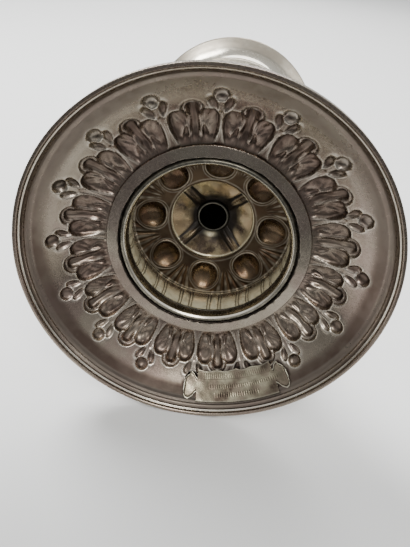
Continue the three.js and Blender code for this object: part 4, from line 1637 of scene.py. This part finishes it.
@dataclass
class Studio:
    """The pale surface that the chalice lies on, a floor for the upright views, and the soft light."""

    foot: Span
    cup: Span
    table_tone: Colour = (0.82, 0.82, 0.805)
    floor_tone: Colour = (0.80, 0.80, 0.79)
    table_near: float = 0.12
    table_far: float = 3.0
    painted_shade_from: float = 0.05
    painted_shade_to: float = -0.11
    painted_shade_share: float = 0.54
    half_width: float = 1.5
    half_floor: float = 2.0
    room_tone: Colour = (0.97, 0.985, 1.0)
    room_light: tuple[float, float] = (1.05, 0.20)
    room_seen: float = 1.1
    light_target: tuple[float, float, float] = (0.0, 0.0, 0.05)

    def one_sided(self, name: str, tone: Colour) -> bpy.types.Material:
        """Makes a matt pale finish that is clear from behind, with painted shade darkening it towards the
        near end.

        Args:
            name: The material's name.
            tone: Its colour.

        Returns:
            The material.
        """
        bench = Bench(name)
        cloud = bench.noise(3.0, 2.0)
        parts = bench.node("ShaderNodeSeparateXYZ")
        bench.feed(parts.inputs[0], bench.place)
        # Painted shade: the surface darkens towards its near end.
        near = bench.between(parts.outputs["Z"], self.painted_shade_from, self.painted_shade_to)
        colour = bench.blend(cloud, tuple(0.97 * c for c in tone), tone)
        colour = bench.blend(near, colour, tuple(self.painted_shade_share * c for c in tone))
        bench.feed(bench.shader.inputs["Base Color"], colour)
        bench.shader.inputs["Roughness"].default_value = 0.6
        clear = bench.node("ShaderNodeBsdfTransparent")
        mix = bench.node("ShaderNodeMixShader")
        bench.feed(mix.inputs[0], bench.node("ShaderNodeNewGeometry").outputs["Backfacing"])
        bench.feed(mix.inputs[1], bench.shader.outputs["BSDF"])
        bench.feed(mix.inputs[2], clear.outputs["BSDF"])
        bench.feed(bench.tree.nodes["Material Output"].inputs["Surface"], mix.outputs[0])
        return bench.material

    def plane(self, name: str, corners: Sequence[Vector], tone: Colour) -> bpy.types.Object:
        """Adds a stage plane.

        Args:
            name: The plane's name.
            corners: Its corners, anticlockwise as seen from its front.
            tone: Its colour.

        Returns:
            The plane.
        """
        data = bpy.data.meshes.new(name)
        data.from_pydata([tuple(c) for c in corners], [], [(0, 1, 2, 3)])
        made = bpy.data.objects.new(name, data)
        made.data.materials.append(self.one_sided(name + "_finish", tone))
        bpy.context.scene.collection.objects.link(made)
        return made

    def build(self) -> None:
        """Sets the surfaces, the lights and the world."""
        foot_touch = Vector((0, self.foot.radius + 0.2 * MM, 0))
        lip_touch = Vector((0, self.cup.radius + 0.2 * MM, self.cup.top))
        along = (lip_touch - foot_touch).normalized()
        side = Vector((self.half_width, 0, 0))
        near, far = foot_touch - along * self.table_near, foot_touch + along * self.table_far
        self.plane("table", [near - side, near + side, far + side, far - side], self.table_tone)
        level = self.half_floor
        corners = [Vector((x * level, y * level, 0)) for x, y in ((-1, -1), (1, -1), (1, 1), (-1, 1))]
        floor = self.plane("floor", corners, self.floor_tone)
        for ray in ("diffuse", "glossy", "transmission", "shadow", "volume_scatter"):
            setattr(floor, "visible_" + ray, False)
        self.world()
        self.softbox("key_light", Vector((-0.55, -0.90, 0.40)), 0.55, 20.0, (0.98, 0.99, 1.0))
        self.softbox("side_light", Vector((0.95, -0.60, 0.10)), 0.6, 4.0, (0.99, 0.995, 1.0))
        self.softbox("back_light", Vector((0.10, -0.85, 1.20)), 0.8, 10.0, (1.0, 1.0, 1.0))
        self.softbox("front_light", Vector((0.10, -0.80, -0.62)), 0.45, 5.0, (1.0, 0.985, 0.95))

    def world(self) -> None:
        """Makes the room's light: pale overhead, dimmer towards the table's side, and evenly pale where the
        camera sees it.
        """
        world = bpy.data.worlds.new("room")
        bpy.context.scene.world = world
        world.use_nodes = True
        tree = world.node_tree
        background = tree.nodes["Background"]
        direction = tree.nodes.new("ShaderNodeTexCoord").outputs["Generated"]
        parts = tree.nodes.new("ShaderNodeSeparateXYZ")
        tree.links.new(direction, parts.inputs[0])
        ramp = tree.nodes.new("ShaderNodeMapRange")
        ramp.interpolation_type = "SMOOTHSTEP"
        names = ("From Min", "From Max", "To Min", "To Max")
        for name, value in zip(names, (-0.85, 0.30, *self.room_light)):
            ramp.inputs[name].default_value = value
        tree.links.new(parts.outputs["Y"], ramp.inputs["Value"])
        seen = tree.nodes.new("ShaderNodeLightPath").outputs["Is Camera Ray"]
        pick = tree.nodes.new("ShaderNodeMix")
        tree.links.new(seen, pick.inputs[0])
        tree.links.new(ramp.outputs["Result"], pick.inputs[2])
        pick.inputs[3].default_value = self.room_seen
        tree.links.new(pick.outputs[0], background.inputs["Strength"])
        background.inputs["Color"].default_value = (*self.room_tone, 1.0)

    def softbox(self, name: str, where: Vector, size: float, power: float, tone: Colour) -> None:
        """Adds a soft light that faces the foot.

        Args:
            name: The light's name.
            where: Its place.
            size: Its diameter.
            power: Its power, in watts.
            tone: Its colour.
        """
        data = bpy.data.lights.new(name, "AREA")
        data.shape = "DISK"
        data.size = size
        data.energy = power
        data.color = tone
        light = bpy.data.objects.new(name, data)
        light.location = where
        light.rotation_mode = "QUATERNION"
        light.rotation_quaternion = (Vector(self.light_target) - where).to_track_quat("-Z", "Y")
        light.visible_camera = False
        bpy.context.scene.collection.objects.link(light)


def main() -> None:
    """Builds the chalice piece by piece, then the studio."""
    logging.basicConfig(level=logging.INFO, format="%(name)s: %(message)s")
    shop = Workshop()
    PhotoCamera().place()
    foot = Foot(span=Span.of("foot"), collar=Span.of("foot_collar"), opening_radius=OPENING_RADIUS)
    plaque = MakerPlaque(ground=foot.ground, step_radius=foot.span.radius - foot.step_inset)
    shop.hand_over(foot.build(plaque), Slot.TARNISHED, "foot")
    shop.hand_over(plaque.build(), Slot.PLATE, "maker_plaque")
    drum = Drum(
        collar=Span.of("foot_collar"), ring=Span.of("drum_ring"), band=Span.of("drum_band"),
        dome=Span.of("boss_dome"), opening_radius=OPENING_RADIUS)
    shop.hand_over(drum.collar_piece(), Slot.TARNISHED, "foot_collar")
    shop.hand_over(drum.ring_piece(), Slot.BRIGHT, "drum_ring")
    shop.hand_over(drum.band_piece(), Slot.WORN_GILT, "drum_band")
    shop.hand_over(drum.dome_piece(), Slot.BROWN_GILT, "boss_dome")
    stem = Stem(
        flare=Span.of("stem_flare"), lower=Span.of("stem_lower"), knop=Span.of("knop"),
        upper=Span.of("stem_upper"))
    shop.hand_over(stem.flare_piece(), Slot.WORN_GILT, "stem_flare")
    seat = stem.flare.bottom + stem.flare_rise + stem.sheet + stem.clearance
    lower = stem.tube_piece("stem_lower_tube", stem.lower, seat, stem.lower.radius)
    shop.hand_over(lower, Slot.BRIGHT, "stem_lower")
    shop.hand_over(stem.knop_piece(), Slot.BRIGHT, "knop")
    upper = stem.tube_piece("stem_upper_tube", stem.upper, stem.upper.bottom, stem.ring_radius)
    shop.hand_over(upper, Slot.BRIGHT, "stem_upper")
    shop.hand_over(Cup(span=Span.of("cup")).build(), Slot.CUP, "cup")
    Studio(foot=Span.of("foot"), cup=Span.of("cup")).build()


if __name__ == "__main__":
    main()
